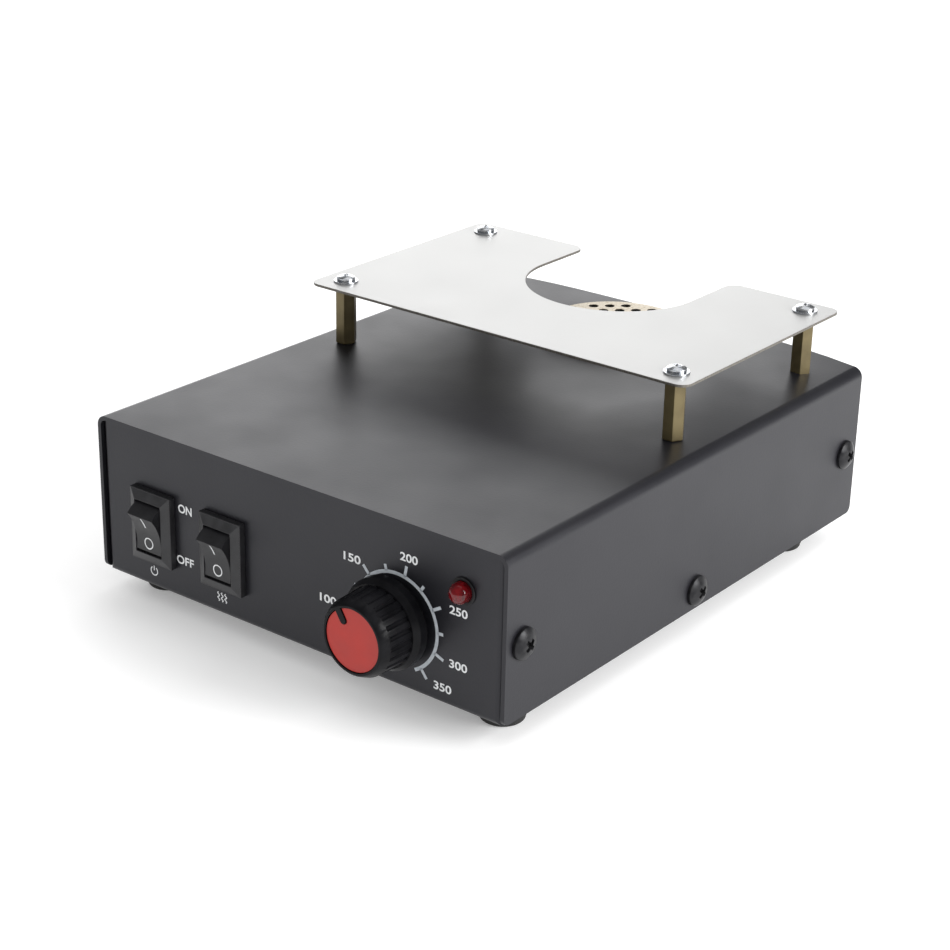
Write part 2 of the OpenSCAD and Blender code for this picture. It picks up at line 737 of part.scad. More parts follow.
// Outlet disc: pierced ceramic, stepped to sit in the heater tube and stand through the roof
module outlet_disc() {
    color(ceramic) in_place() translate([0, outlet_y, disc_z]) difference() {
        union() {
            cylinder(d = disc_d, h = disc_t - disc_chamfer);
            translate([0, 0, disc_t - disc_chamfer])
                cylinder(d1 = disc_d, d2 = disc_d - 2*disc_chamfer, h = disc_chamfer);
            translate([0, 0, -spigot_h]) cylinder(d = mouth_d - 2*can_t - 2*seat_gap, h = spigot_h);
        }
        translate([0, 0, -spigot_h - cut]) rotate(disc_turn)
            hole_field(mouth_d/2 - can_t - disc_rim, disc_pitch, disc_hole_d, disc_t + spigot_h + 2*cut);
    }
}

// Heater tube with a flared mouth, on a square flange that bolts down over the fan
module heater_can() {
    can_h = disc_z - flange_z;
    flare_z = can_h - 2*flare_h;
    mouth_z = can_h - flare_h;
    color(steel) in_place() translate([0, outlet_y, flange_z]) difference() {
        union() {
            linear_extrude(can_t) rounded_rect(fan_w, fan_w, fan_corner_r);
            rotate_extrude() polygon([[0, 0], [can_d/2, 0], [can_d/2, flare_z], [mouth_d/2, mouth_z],
                [mouth_d/2, can_h], [0, can_h]]);
        }
        rotate_extrude() polygon([[0, -cut], [can_d/2 - can_t, -cut], [can_d/2 - can_t, flare_z],
            [mouth_d/2 - can_t, mouth_z], [mouth_d/2 - can_t, can_h + cut], [0, can_h + cut]]);
        for (x = [-1, 1], y = [-1, 1]) translate([x*fan_hole_pitch/2, y*fan_hole_pitch/2, 0])
            screw_hole(small_thread_d, can_t);
    }
}

// Two crossed mica boards, wide at their ends where they bear on the tube
module heater_former() {
    top_z = disc_z - spigot_h;
    former_h = top_z - can_z;
    wide = can_d - 2*(can_t + seat_gap);
    color(mica) in_place() translate([0, outlet_y, can_z]) for (turn = [0, 90]) rotate(turn) {
        translate([-mica_core_w/2, -mica_t/2, 0]) cube([mica_core_w, mica_t, former_h]);
        for (z = [0, former_h - mica_bridge_h]) translate([-wide/2, -mica_t/2, z])
            cube([wide, mica_t, mica_bridge_h]);
    }
}

// Heater coil: resistance wire wound round the edges of the mica boards
coil_r = mica_core_w/2 + coil_wire_d/2 + seat_gap;
coil_low = can_z + mica_bridge_h + coil_wire_d;
coil_high = disc_z - spigot_h - mica_bridge_h - coil_wire_d;
coil_steps = 24;
coil_sides = 6;
function coil_ring(i) = let (t = i/(coil_turns*coil_steps), a = 360*coil_turns*t)
    [for (k = [0 : coil_sides - 1]) let (b = 360*k/coil_sides, r = coil_r + cos(b)*coil_wire_d/2)
        [r*cos(a), r*sin(a), coil_low + (coil_high - coil_low)*t + sin(b)*coil_wire_d/2]];
module heater_coil() {
    rings = coil_turns*coil_steps;
    points = [for (i = [0 : rings]) each coil_ring(i)];
    wall = [for (i = [0 : rings - 1], k = [0 : coil_sides - 1]) let (n = (k + 1) % coil_sides)
        [i*coil_sides + k, (i + 1)*coil_sides + k, (i + 1)*coil_sides + n, i*coil_sides + n]];
    first = [for (k = [0 : coil_sides - 1]) k];
    last = [for (k = [coil_sides - 1 : -1 : 0]) rings*coil_sides + k];
    color(zinc) in_place() translate([0, outlet_y, 0]) polyhedron(points, concat(wall, [first, last]));
}

// Fan: square frame with a duct, a motor base on three struts, and a bladed rotor on a shaft
fan_bearing_wall = 1.5;
fan_bearing_drop = 5;
fan_rotor_gap = 0.6;
fan_rotor_drop = 1;
fan_hub_wall = 1.4;
fan_strut_w = 2.4;
fan_shaft_gap = 0.3;
fan_bearing_h = fan_t - fan_bearing_drop;
fan_rotor_low = fan_base_t + fan_rotor_gap;
fan_rotor_high = fan_t - fan_rotor_drop;
module in_fan() in_place() translate([0, outlet_y, sheet_t]) children();
module fan_frame() {
    color(black_plastic) in_fan() difference() {
        union() {
            linear_extrude(fan_t) difference() {
                rounded_rect(fan_w, fan_w, fan_corner_r);
                circle(d = fan_duct_d);
            }
            cylinder(d = fan_hub_d, h = fan_base_t);
            for (strut = [0 : 2]) rotate(strut*120 + 90) translate([0, -fan_strut_w/2, 0])
                cube([(fan_duct_d + fan_w)/4, fan_strut_w, fan_base_t]);
            cylinder(d = fan_shaft_d + 2*fan_bearing_wall, h = fan_bearing_h);
        }
        translate([0, 0, fan_base_t/2]) cylinder(d = fan_shaft_d + 2*running_gap, h = fan_t);
        for (x = [-1, 1], y = [-1, 1]) translate([x*fan_hole_pitch/2, y*fan_hole_pitch/2, 0])
            screw_hole(small_thread_d, fan_t);
    }
}
module fan_rotor() {
    tip_r = fan_duct_d/2 - fan_tip_gap;
    blade_h = fan_rotor_high - fan_rotor_low;
    hollow_h = fan_bearing_h + fan_rotor_gap - fan_rotor_low;
    shaft_z = fan_base_t/2 + fan_shaft_gap;
    color(rotor_black) in_fan() {
        difference() {
            translate([0, 0, fan_rotor_low]) cylinder(d = fan_hub_d, h = blade_h);
            translate([0, 0, fan_rotor_low - cut])
                cylinder(d = fan_hub_d - 2*fan_hub_wall, h = hollow_h + cut);
        }
        translate([0, 0, shaft_z]) cylinder(d = fan_shaft_d, h = fan_rotor_high - fan_hub_wall/2 - shaft_z);
        intersection() {
            difference() {
                translate([0, 0, fan_rotor_low]) cylinder(r = tip_r, h = blade_h);
                cylinder(d = fan_hub_d - fan_hub_wall, h = fan_t);
            }
            for (blade = [0 : fan_blades - 1]) rotate(blade*360/fan_blades)
                translate([0, 0, (fan_rotor_low + fan_rotor_high)/2]) rotate([fan_pitch, 0, 0])
                    translate([0, -fan_t, -fan_blade_t/2]) cube([fan_w/2, 2*fan_t, fan_blade_t]);
        }
    }
}
module fan_screws() {
    color(zinc) at_each(fan_corners, 0) rotate([180, 0, 0])
        pan_screw(small_thread_d, can_z + nut_t + screw_tail, small_head_d, small_head_h);
}
module fan_nuts() color(zinc) at_each(fan_corners, can_z) hex_nut(small_thread_d, nut_af, nut_t);

// Rocker switch: frame with sloping faces and barrel in one moulding, and a rocker on two pins
module switch_body(x) {
    color(black_plastic) on_front(x, control_z) difference() {
        union() {
            linear_extrude(bezel_t) rounded_rect(bezel_w, bezel_h, bezel_corner_r);
            intersection() {
                rotate([90, 0, 0]) linear_extrude(2*bezel_h, center = true)
                    slope_profile(bezel_w/2 - bezel_rim, rocker_slot_w/2);
                rotate([90, 0, 90]) linear_extrude(2*bezel_w, center = true)
                    slope_profile(bezel_h/2 - bezel_rim, rocker_slot_h/2);
            }
            translate([0, 0, -barrel_depth]) linear_extrude(barrel_depth + bezel_t/2)
                square([barrel_w, barrel_h], center = true);
        }
        translate([0, 0, barrel_floor - barrel_depth])
            linear_extrude(barrel_depth + bezel_t + bezel_rise)
                square([rocker_slot_w, rocker_slot_h], center = true);
        translate([0, 0, -rocker_pivot_depth]) rotate([0, 90, 0])
            cylinder(d = rocker_pin_d + 2*running_gap, h = 2*(pin_reach + seat_gap), center = true);
        for (y = [-1, 1]) translate([0, y*barrel_h/4, -barrel_depth - cut])
            linear_extrude(barrel_floor + 2*cut)
                square([spade_w + 2*screw_gap, spade_t + 2*screw_gap], center = true);
    }
}
module slope_profile(low, high) {
    polygon([[-low, bezel_t/2], [low, bezel_t/2], [low, bezel_t], [high, bezel_t + bezel_rise],
        [-high, bezel_t + bezel_rise], [-low, bezel_t]]);
}
module rocker(x) {
    edge_z = sqrt(rocker_r*rocker_r - rocker_edge*rocker_edge);
    face_r = (rocker_edge*rocker_edge + rocker_hollow*rocker_hollow)/(2*rocker_hollow);
    foot_z = -rocker_foot;
    color(black_plastic) on_front(x, control_z) translate([0, 0, -rocker_pivot_depth])
        rotate([rocker_tilt, 0, 0]) {
        rotate([0, 90, 0]) cylinder(d = rocker_pin_d, h = 2*pin_reach, center = true);
        difference() {
            intersection() {
                rotate([0, 90, 0]) cylinder(r = rocker_r, h = rocker_w, center = true);
                translate([-rocker_w, -rocker_r, foot_z]) cube([2*rocker_w, 2*rocker_r, rocker_r - foot_z]);
            }
            translate([0, 0, edge_z - rocker_hollow + face_r]) rotate([0, 90, 0])
                cylinder(r = face_r, h = rocker_w + 2*cut, center = true);
        }
    }
}
module power_switch_body() switch_body(power_x);
module heater_switch_body() switch_body(heater_x);
module power_rocker() rocker(power_x);
module heater_rocker() rocker(heater_x);
module switch_terminals() {
    color(brass) for (x = [power_x, heater_x], y = [-1, 1]) on_front(x, control_z)
        translate([0, y*barrel_h/4, -barrel_depth - spade_len]) linear_extrude(spade_len + spade_seat)
            square([spade_w, spade_t], center = true);
}

// Rotary control: body with a threaded bush, held to the panel by a nut and washer
pot_bush_over = 1;
pot_bush_len = pot_washer_t + pot_nut_t + pot_bush_over;
pot_floor = 2;
pot_leg = [1.2, pot_d/2, 0.8];
pot_leg_pitch = 5;
pot_leg_reach = 4;
shaft_end_gap = 0.4;
knob_web = 1.5;
module potentiometer() {
    leg_z = -sheet_t - pot_depth/2;
    color(zinc) on_front(dial_x, control_z) difference() {
        union() {
            translate([0, 0, -sheet_t - pot_depth]) cylinder(d = pot_d, h = pot_depth);
            translate([0, 0, -sheet_t]) cylinder(d = bush_d, h = sheet_t + pot_bush_len);
            for (leg = [-1 : 1])
                translate([leg*pot_leg_pitch - pot_leg.x/2, -pot_d/2 - pot_leg_reach, leg_z]) cube(pot_leg);
        }
        translate([0, 0, pot_floor - sheet_t - pot_depth])
            cylinder(d = shaft_d + 2*running_gap, h = 2*knob_reach);
    }
}
module pot_shaft() {
    low = pot_floor + shaft_end_gap - sheet_t - pot_depth;
    high = knob_reach - cap_t - knob_web - shaft_end_gap;
    color(zinc) on_front(dial_x, control_z) translate([0, 0, low]) cylinder(d = shaft_d, h = high - low);
}
module pot_washer() {
    color(zinc) on_front(dial_x, control_z) difference() {
        cylinder(d = pot_washer_d, h = pot_washer_t);
        screw_hole(bush_d, pot_washer_t);
    }
}
module pot_nut() {
    color(zinc) on_front(dial_x, control_z) translate([0, 0, pot_washer_t])
        hex_nut(bush_d, pot_nut_af, pot_nut_t);
}

// Knob: skirt and grooved grip turned in one, a pointer tongue, and a coloured cap let into its face
knob_band = 0.6;
knob_step = 0.4;
knob_bevel = 0.5;
groove_out = 0.4;
recess_gap = 1;
recess_over = 0.4;
module pointer_shape(gap) {
    translate([0, pointer_start]) circle(d = pointer_w + 2*gap);
    translate([-pointer_w/2 - gap, pointer_start]) square([pointer_w + 2*gap, knob_rim_d/2]);
}
module knob() {
    grip_z = knob_lift + knob_skirt_t;
    skirt_r = knob_skirt_d/2;
    grip_r = knob_grip_d/2;
    shoulder_r = knob_shoulder_d/2;
    rim_r = knob_rim_d/2;
    groove_len = knob_reach - knob_shoulder - grip_z;
    lean = atan((grip_r - shoulder_r)/groove_len);
    color(black_plastic) on_front(dial_x, control_z) difference() {
        rotate_extrude() polygon([[0, knob_lift], [skirt_r, knob_lift],
            [skirt_r, knob_lift + knob_skirt_t*knob_band], [grip_r + knob_step, grip_z], [grip_r, grip_z],
            [shoulder_r, grip_z + groove_len], [rim_r, knob_reach - knob_bevel],
            [rim_r - knob_bevel, knob_reach], [0, knob_reach]]);
        for (groove = [0 : knob_grooves - 1]) rotate(groove*360/knob_grooves)
            translate([grip_r + knob_groove_r*groove_out, 0, grip_z]) rotate([0, -lean, 0])
                cylinder(r = knob_groove_r, h = groove_len);
        translate([0, 0, knob_lift - cut])
            cylinder(d = pot_washer_d + 2*recess_gap, h = pot_bush_len + recess_over - knob_lift + cut);
        cylinder(d = shaft_d + 2*running_gap, h = knob_reach - cap_t - knob_web);
        translate([0, 0, knob_reach - cap_t]) linear_extrude(cap_t + cut) difference() {
            circle(d = cap_d + 2*seat_gap);
            rotate(pointer_angle) pointer_shape(0);
        }
    }
}
module knob_cap() {
    color(cap_red) on_front(dial_x, control_z) translate([0, 0, knob_reach - cap_t])
        linear_extrude(cap_t - cap_sink) difference() {
            circle(d = cap_d);
            rotate(pointer_angle) pointer_shape(seat_gap);
        }
}

// Lamp: a red light-emitting diode in a plastic collar
module lamp() {
    lamp_r = lamp_d/2;
    rim_t = 1;
    rim_over = 0.4;
    color(lamp_red) on_front(lamp_x, lamp_z) {
        translate([0, 0, -lamp_back]) cylinder(r = lamp_r, h = lamp_back + lamp_reach - lamp_r);
        translate([0, 0, lamp_reach - lamp_r]) intersection() {
            sphere(lamp_r);
            cylinder(r = lamp_r, h = lamp_r);
        }
        translate([0, 0, -lamp_back - rim_t]) cylinder(r = lamp_r + rim_over, h = rim_t);
    }
}
module lamp_collar() {
    inner_d = lamp_d + 2*running_gap;
    collar_len = collar_depth + collar_flange;
    color(black_plastic) on_front(lamp_x, lamp_z) difference() {
        union() {
            translate([0, 0, -collar_depth]) cylinder(d = inner_d + 2*collar_wall, h = collar_len);
            cylinder(d = inner_d + 2*(collar_wall + collar_lip), h = collar_flange);
        }
        translate([0, 0, -collar_depth - cut]) cylinder(d = inner_d, h = collar_len + 2*cut);
    }
}

// Mains inlet: moulded socket with a screwed flange and three blades
module mouth_shape() {
    half_w = inlet_mouth_w/2;
    half_h = inlet_mouth_h/2;
    polygon([[-half_w, -half_h], [half_w, -half_h], [half_w, half_h - inlet_bevel],
        [half_w - inlet_bevel, half_h], [inlet_bevel - half_w, half_h], [-half_w, half_h - inlet_bevel]]);
}
module mains_inlet() {
    color(black_plastic) on_rear(inlet_x, inlet_z) difference() {
        union() {
            linear_extrude(inlet_flange_t) rounded_rect(inlet_flange_w, inlet_flange_h, inlet_corner_r);
            translate([0, 0, -inlet_depth]) linear_extrude(inlet_depth + cut)
                square([inlet_body_w, inlet_body_h], center = true);
        }
        translate([0, 0, inlet_floor]) linear_extrude(inlet_mouth_depth + cut) mouth_shape();
        for (x = [-1, 1]) translate([x*inlet_screw_pitch/2, 0, 0])
            screw_hole(small_thread_d, inlet_flange_t);
        for (pin = inlet_pins_at) translate([pin.x, pin.y, -inlet_depth - cut]) linear_extrude(inlet_depth)
            square([inlet_pin_w + 2*screw_gap, inlet_pin_h + 2*screw_gap], center = true);
    }
}
module inlet_pins() {
    pin_len = inlet_depth + inlet_pin_tail;
    color(brass) on_rear(inlet_x, inlet_z) for (pin = inlet_pins_at)
        translate([pin.x, pin.y, -pin_len]) linear_extrude(pin_len)
            square([inlet_pin_w, inlet_pin_h], center = true);
}
module inlet_screws() {
    screw_len = inlet_flange_t + sheet_t + nut_t + screw_tail;
    color(zinc) on_rear(inlet_x, inlet_z) for (x = [-1, 1])
        translate([x*inlet_screw_pitch/2, 0, inlet_flange_t])
            pan_screw(small_thread_d, screw_len, small_head_d, small_head_h);
}
module inlet_nuts() {
    color(zinc) on_rear(inlet_x, inlet_z) for (x = [-1, 1])
        translate([x*inlet_screw_pitch/2, 0, -sheet_t - nut_t]) hex_nut(small_thread_d, nut_af, nut_t);
}

// Control electronics on a board that stands on four spacers
module control_board() {
    color(board_green) difference() {
        in_place() translate([board_x, board_y, board_z]) linear_extrude(board_t)
            rounded_rect(board_w, board_d, board_corner_r);
        at_each(board_corners, board_z) screw_hole(small_thread_d, board_t);
    }
}
module board_spacers() {
    color(zinc) at_each(board_corners, sheet_t) difference() {
        cylinder(d = spacer_d, h = spacer_h);
        screw_hole(small_thread_d, spacer_h);
    }
}
module board_screws() {
    color(zinc) at_each(board_corners, board_top)
        pan_screw(small_thread_d, board_t + spacer_h + sheet_t, small_head_d, small_head_h);
}

// place on the board, measured from its middle
module on_board(x, y) in_place() translate([board_x + x, board_y + y, board_top]) children();

// Transformer: laminated core with two windows, and a winding on its middle leg
core_side_gap = 10;
core_rear_gap = 8;
core_x = board_w/2 - core_w/2 - core_side_gap;
core_y = board_d/2 - core_d/2 - winding_over - core_rear_gap;
core_window = [core_w/2 - 2*core_leg_w, core_h - 2*core_leg_w];
module transformer_core() {
    color(core_grey) on_board(core_x, core_y) difference() {
        translate([-core_w/2, -core_d/2, 0]) cube([core_w, core_d, core_h]);
        for (side = [-1, 1]) translate([side*(core_leg_w + core_window.x/2), 0, core_h/2])
            cube([core_window.x, core_d + 2*cut, core_window.y], center = true);
    }
}
module transformer_winding() {
    reel_w = 2*(core_leg_w + core_window.x - seat_gap);
    reel_h = core_window.y - 2*seat_gap;
    color(tape_yellow) on_board(core_x, core_y) translate([0, 0, core_h/2]) difference() {
        cube([reel_w, core_d + 2*winding_over, reel_h], center = true);
        cube([2*(core_leg_w + seat_gap), core_d + 2*seat_gap, core_h], center = true);
    }
}

// Heat sink with a triac against its front, standing on the board
sink_side_gap = 3;
sink_rear_gap = 10;
sink_x = sink_w/2 + sink_side_gap - board_w/2;
sink_y = board_d/2 - sink_d/2 - sink_rear_gap;
sink_back = 3;
fin_t = 1.2;
module heat_sink() {
    fin_pitch = (sink_w - fin_t)/(sink_fins - 1);
    color(sink_grey) on_board(sink_x, sink_y) {
        translate([-sink_w/2, -sink_d/2, 0]) cube([sink_w, sink_back, sink_h]);
        for (fin = [0 : sink_fins - 1]) translate([fin*fin_pitch - sink_w/2, -sink_d/2, 0])
            cube([fin_t, sink_d, sink_h]);
    }
}
triac_body = [10, 4.5, 9];
triac_tab = [10, 1.3, 15];
triac_lift = 4;
triac_leg = [0.8, 0.6, 5];
triac_leg_pitch = 2.5;
module triac() {
    color(black_plastic) on_board(sink_x, sink_y - sink_d/2) {
        for (block = [triac_body, triac_tab]) translate([-block.x/2, -block.y, triac_lift]) cube(block);
        for (leg = [-1 : 1]) translate([leg*triac_leg_pitch - triac_leg.x/2, -triac_body.y/2, 0])
            cube(triac_leg);
    }
}

// Two capacitors side by side, and a terminal block along the board's front edge
cap_side_gap = 7;
cap_apart = 3;
cap_y = -8;
module capacitors() {
    first_x = cap_side_gap + cap_can_d/2 - board_w/2;
    color(sleeve_blue) for (spot = [0, 1]) on_board(first_x + spot*(cap_can_d + cap_apart), cap_y)
        cylinder(d = cap_can_d, h = cap_can_h);
}
block_d = 8;
block_h = 10;
block_front_gap = 4;
block_screw_d = 3.4;
block_entry = 3;
block_sill = 1;
module terminal_block() {
    block_w = block_ways*block_pitch;
    color(block_green) on_board(0, block_front_gap + block_d/2 - board_d/2) difference() {
        translate([-block_w/2, -block_d/2, 0]) cube([block_w, block_d, block_h]);
        for (way = [0 : block_ways - 1]) translate([(way + 0.5)*block_pitch - block_w/2, 0, 0]) {
            translate([0, 0, block_h/2]) cylinder(d = block_screw_d, h = block_h);
            translate([-block_entry/2, -block_d/2 - cut, block_sill])
                cube([block_entry, block_d/2 + cut, block_entry]);
        }
    }
}

base_tray();
top_cover();
cover_screws();
foot_front_left();
foot_front_right();
foot_rear_left();
foot_rear_right();
foot_screws();
foot_nuts();
pillar_front_left();
pillar_front_right();
pillar_rear_left();
pillar_rear_right();
pillar_nuts();
work_plate();
plate_washers();
plate_screws();
outlet_disc();
heater_can();
heater_former();
heater_coil();
fan_frame();
fan_rotor();
fan_screws();
fan_nuts();
power_switch_body();
power_rocker();
heater_switch_body();
heater_rocker();
switch_terminals();
potentiometer();
pot_shaft();
pot_washer();
pot_nut();
knob();
knob_cap();
lamp();
lamp_collar();
mains_inlet();
inlet_pins();
inlet_screws();
inlet_nuts();
control_board();
board_spacers();
board_screws();
transformer_core();
transformer_winding();
heat_sink();
triac();
capacitors();
terminal_block();
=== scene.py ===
"""Looks of a hot-air preheating stand for circuit boards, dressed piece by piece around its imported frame."""
import json
from math import asin, atan2, cos, pi, radians, sin, sqrt

import bmesh
import bpy
from mathutils import Euler, Matrix, Vector


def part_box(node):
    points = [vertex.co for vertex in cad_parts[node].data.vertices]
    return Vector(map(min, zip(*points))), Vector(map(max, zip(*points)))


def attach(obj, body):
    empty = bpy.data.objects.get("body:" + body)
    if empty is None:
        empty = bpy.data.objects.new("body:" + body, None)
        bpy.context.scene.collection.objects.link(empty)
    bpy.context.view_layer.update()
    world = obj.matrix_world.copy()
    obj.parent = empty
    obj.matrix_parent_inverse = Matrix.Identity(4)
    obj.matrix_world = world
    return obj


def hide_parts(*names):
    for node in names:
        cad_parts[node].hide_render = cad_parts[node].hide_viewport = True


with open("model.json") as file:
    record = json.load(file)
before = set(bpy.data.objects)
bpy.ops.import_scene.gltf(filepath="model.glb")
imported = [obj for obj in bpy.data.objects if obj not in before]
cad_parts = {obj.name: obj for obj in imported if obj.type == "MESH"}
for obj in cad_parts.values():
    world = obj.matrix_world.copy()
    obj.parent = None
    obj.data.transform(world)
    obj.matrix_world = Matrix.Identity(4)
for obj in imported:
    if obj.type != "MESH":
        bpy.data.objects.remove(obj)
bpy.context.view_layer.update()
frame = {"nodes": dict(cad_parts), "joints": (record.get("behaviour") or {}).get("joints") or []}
nodes = frame["nodes"]

# Folded tray: floor, control panel and rear panel bent from one steel sheet.
# It is powder coated in satin black, and every other piece is bolted to it.
MM = 0.001


def new_finish(name, colour, roughness, metallic=0.0, specular=0.5):
    """A material with its constant values on the shader's own sockets."""
    material = bpy.data.materials.new(name)
    material.use_nodes = True
    shader = material.node_tree.nodes["Principled BSDF"]
    shader.inputs["Base Color"].default_value = (*colour, 1.0)
    shader.inputs["Roughness"].default_value = roughness
    shader.inputs["Metallic"].default_value = metallic
    shader.inputs["Specular IOR Level"].default_value = specular
    return material


def pattern(material, kind, stretch=(1, 1, 1), **inputs):
    """A texture on the piece's own coordinates, in metres."""
    tree = material.node_tree
    where = tree.nodes.new("ShaderNodeTexCoord")
    mapping = tree.nodes.new("ShaderNodeMapping")
    mapping.inputs["Scale"].default_value = stretch
    texture = tree.nodes.new("ShaderNodeTex" + kind)
    for key, value in inputs.items():
        texture.inputs[key].default_value = value
    tree.links.new(where.outputs["Object"], mapping.inputs["Vector"])
    tree.links.new(mapping.outputs["Vector"], texture.inputs["Vector"])
    return texture.outputs[0]


def tint(material, value, low, high, start=0.35, end=0.65):
    """Colour that runs from low to high as a pattern rises from start to end."""
    tree = material.node_tree
    ramp = tree.nodes.new("ShaderNodeValToRGB")
    for stop, place, colour in zip(ramp.color_ramp.elements, (start, end), (low, high)):
        stop.position = place
        stop.color = (*colour, 1.0)
    tree.links.new(value, ramp.inputs["Fac"])
    tree.links.new(ramp.outputs["Color"], tree.nodes["Principled BSDF"].inputs["Base Color"])


def polish(material, value, low, high, start=0.3, end=0.7):
    """Roughness that runs from low to high as a pattern rises from start to end."""
    tree = material.node_tree
    spread = tree.nodes.new("ShaderNodeMapRange")
    for socket, number in (("From Min", start), ("From Max", end), ("To Min", low), ("To Max", high)):
        spread.inputs[socket].default_value = number
    tree.links.new(value, spread.inputs["Value"])
    tree.links.new(spread.outputs["Result"], tree.nodes["Principled BSDF"].inputs["Roughness"])


def grain(material, value, depth, strength=1.0):
    """Relief of that depth from a pattern, over any relief that is already there."""
    tree = material.node_tree
    normal = tree.nodes["Principled BSDF"].inputs["Normal"]
    bump = tree.nodes.new("ShaderNodeBump")
    bump.inputs["Distance"].default_value = depth
    bump.inputs["Strength"].default_value = strength
    if normal.is_linked:
        tree.links.new(normal.links[0].from_socket, bump.inputs["Normal"])
    tree.links.new(value, bump.inputs["Height"])
    tree.links.new(bump.outputs["Normal"], normal)


def dress(material, *names):
    """Give CAD nodes their finish."""
    for name in names:
        for slot in nodes[name].material_slots:
            slot.material = material


def powder_coat():
    """Satin black powder coat: fine orange peel and faint clouding."""
    material = new_finish("satin_black_powder_coat", (0.011, 0.011, 0.014), 0.42, specular=0.45)
    shader = material.node_tree.nodes["Principled BSDF"]
    shader.inputs["Specular Tint"].default_value = (0.94, 0.94, 1.0, 1.0)
    cloud = pattern(material, "Noise", Scale=45, Detail=3)
    tint(material, cloud, (0.010, 0.010, 0.013), (0.012, 0.012, 0.015))
    polish(material, cloud, 0.37, 0.44)
    grain(material, pattern(material, "Noise", Scale=1300, Detail=2), 0.02 * MM)
    grain(material, pattern(material, "Noise", Scale=5200, Detail=1), 0.004 * MM)
    return material


coat = powder_coat()
dress(coat, "base_tray")

# Rubber feet: four moulded cones, each held by a screw that is sunk in the foot, and a nut on the floor.
# The rubber is matte black and a little dusty.
FOOT_TOP_R = 7.5 * MM
FOOT_BASE_R = 6.0 * MM
FOOT_RIM_R = 1.0 * MM
FOOT_EDGE_R = 0.3 * MM
FOOT_RECESS_R = 3.8 * MM
FOOT_WEB = 2.0 * MM
FOOT_HOLE_R = 1.6 * MM
WELD_GAP = 0.001 * MM
CORNERS = ("front_left", "front_right", "rear_left", "rear_right")


def clear_selection():
    """Leave no object selected, the CAD nodes among them."""
    bpy.ops.object.select_all(action="DESELECT")


def take(piece):
    """Make one piece the only selected one."""
    clear_selection()
    piece.select_set(True)
    bpy.context.view_layer.objects.active = piece


def arc(centre, radius, start, end, steps):
    """Points of a round stretch of an outline, between two angles in degrees."""
    turns = [radians(start + (end - start) * i / steps) for i in range(steps + 1)]
    return [(centre[0] + radius * cos(t), centre[1] + radius * sin(t)) for t in turns]


def extrude(step):
    """Extrude what is selected by a step."""
    bpy.ops.mesh.extrude_region_move(TRANSFORM_OT_translate={"value": step})


def leave_edit():
    """Go back to object mode."""
    bpy.ops.object.mode_set(mode="OBJECT")


def wire(name, points):
    """A line drawn point by point, left selected in edit mode."""
    clear_selection()
    bpy.ops.mesh.primitive_plane_add(size=MM)
    piece = bpy.context.object
    piece.name = name
    bpy.ops.object.mode_set(mode="EDIT")
    bpy.ops.mesh.select_mode(type="VERT")
    bpy.ops.mesh.select_all(action="SELECT")
    bpy.ops.mesh.merge(type="CENTER")
    bpy.ops.transform.translate(value=points[0])
    for old, new in zip(points, points[1:]):
        extrude(Vector(new) - Vector(old))
    bpy.ops.mesh.select_all(action="SELECT")
    return piece


def turned(name, outline, steps=64):
    """A lathe-turned shape: an outline of radius and height, spun about Z."""
    piece = wire(name, [(radius, 0, height) for radius, height in outline])
    bpy.ops.mesh.spin(steps=steps, angle=2 * pi, center=(0, 0, 0), axis=(0, 0, 1))
    bpy.ops.mesh.select_all(action="SELECT")
    bpy.ops.mesh.remove_doubles(threshold=WELD_GAP)
    bpy.ops.mesh.normals_make_consistent(inside=False)
    leave_edit()
    return piece


def settle(piece, place=(0, 0, 0), turn=(0, 0, 0)):
    """Move a shape to its place and keep the place in its mesh."""
    take(piece)
    piece.location = place
    piece.rotation_euler = turn
    bpy.ops.object.transform_apply(location=True, rotation=True, scale=True)


def smooth(piece, angle=40):
    """Shade round stretches smooth and keep real edges."""
    take(piece)
    bpy.ops.object.shade_smooth_by_angle(angle=radians(angle))


def finish_piece(piece, material, slot, body="housing", *replaced):
    """Give a new piece its finish and let it ride on its body, in place of the nodes named."""
    piece.data.materials.clear()
    piece.data.materials.append(material)
    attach(piece, body)
    if replaced:
        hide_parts(*replaced)


def middle(node):
    """Middle of a CAD node's box."""
    low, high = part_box(node)
    return (Vector(low) + Vector(high)) / 2


def matte_rubber():
    """Moulded rubber: dull black, with a fine skin and pale dust in patches."""
    material = new_finish("matte_rubber", (0.022, 0.022, 0.022), 0.75)
    dust = pattern(material, "Noise", Scale=220, Detail=4)
    tint(material, dust, (0.018, 0.018, 0.018), (0.05, 0.049, 0.047), 0.5, 0.8)
    grain(material, pattern(material, "Noise", Scale=2500, Detail=2), 0.02 * MM)
    return material


rubber = matte_rubber()
for corner in CORNERS:
    low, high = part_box("foot_" + corner)
    height = high[2] - low[2]
    ceiling = height - FOOT_WEB
    rim = arc((FOOT_BASE_R - FOOT_RIM_R, FOOT_RIM_R), FOOT_RIM_R, -90, 0, 6)
    shoulder = arc((FOOT_TOP_R - FOOT_EDGE_R, height - FOOT_EDGE_R), FOOT_EDGE_R, 0, 90, 4)
    outline = [(FOOT_RECESS_R, 0), *rim, *shoulder]
    outline += [(FOOT_HOLE_R, height), (FOOT_HOLE_R, ceiling), (FOOT_RECESS_R, ceiling), (FOOT_RECESS_R, 0)]
    foot = turned("rubber_foot_" + corner, outline)
    centre = middle("foot_" + corner)
    settle(foot, (centre.x, centre.y, low[2]))
    smooth(foot)
    finish_piece(foot, rubber, "rubber", "housing", "foot_" + corner)


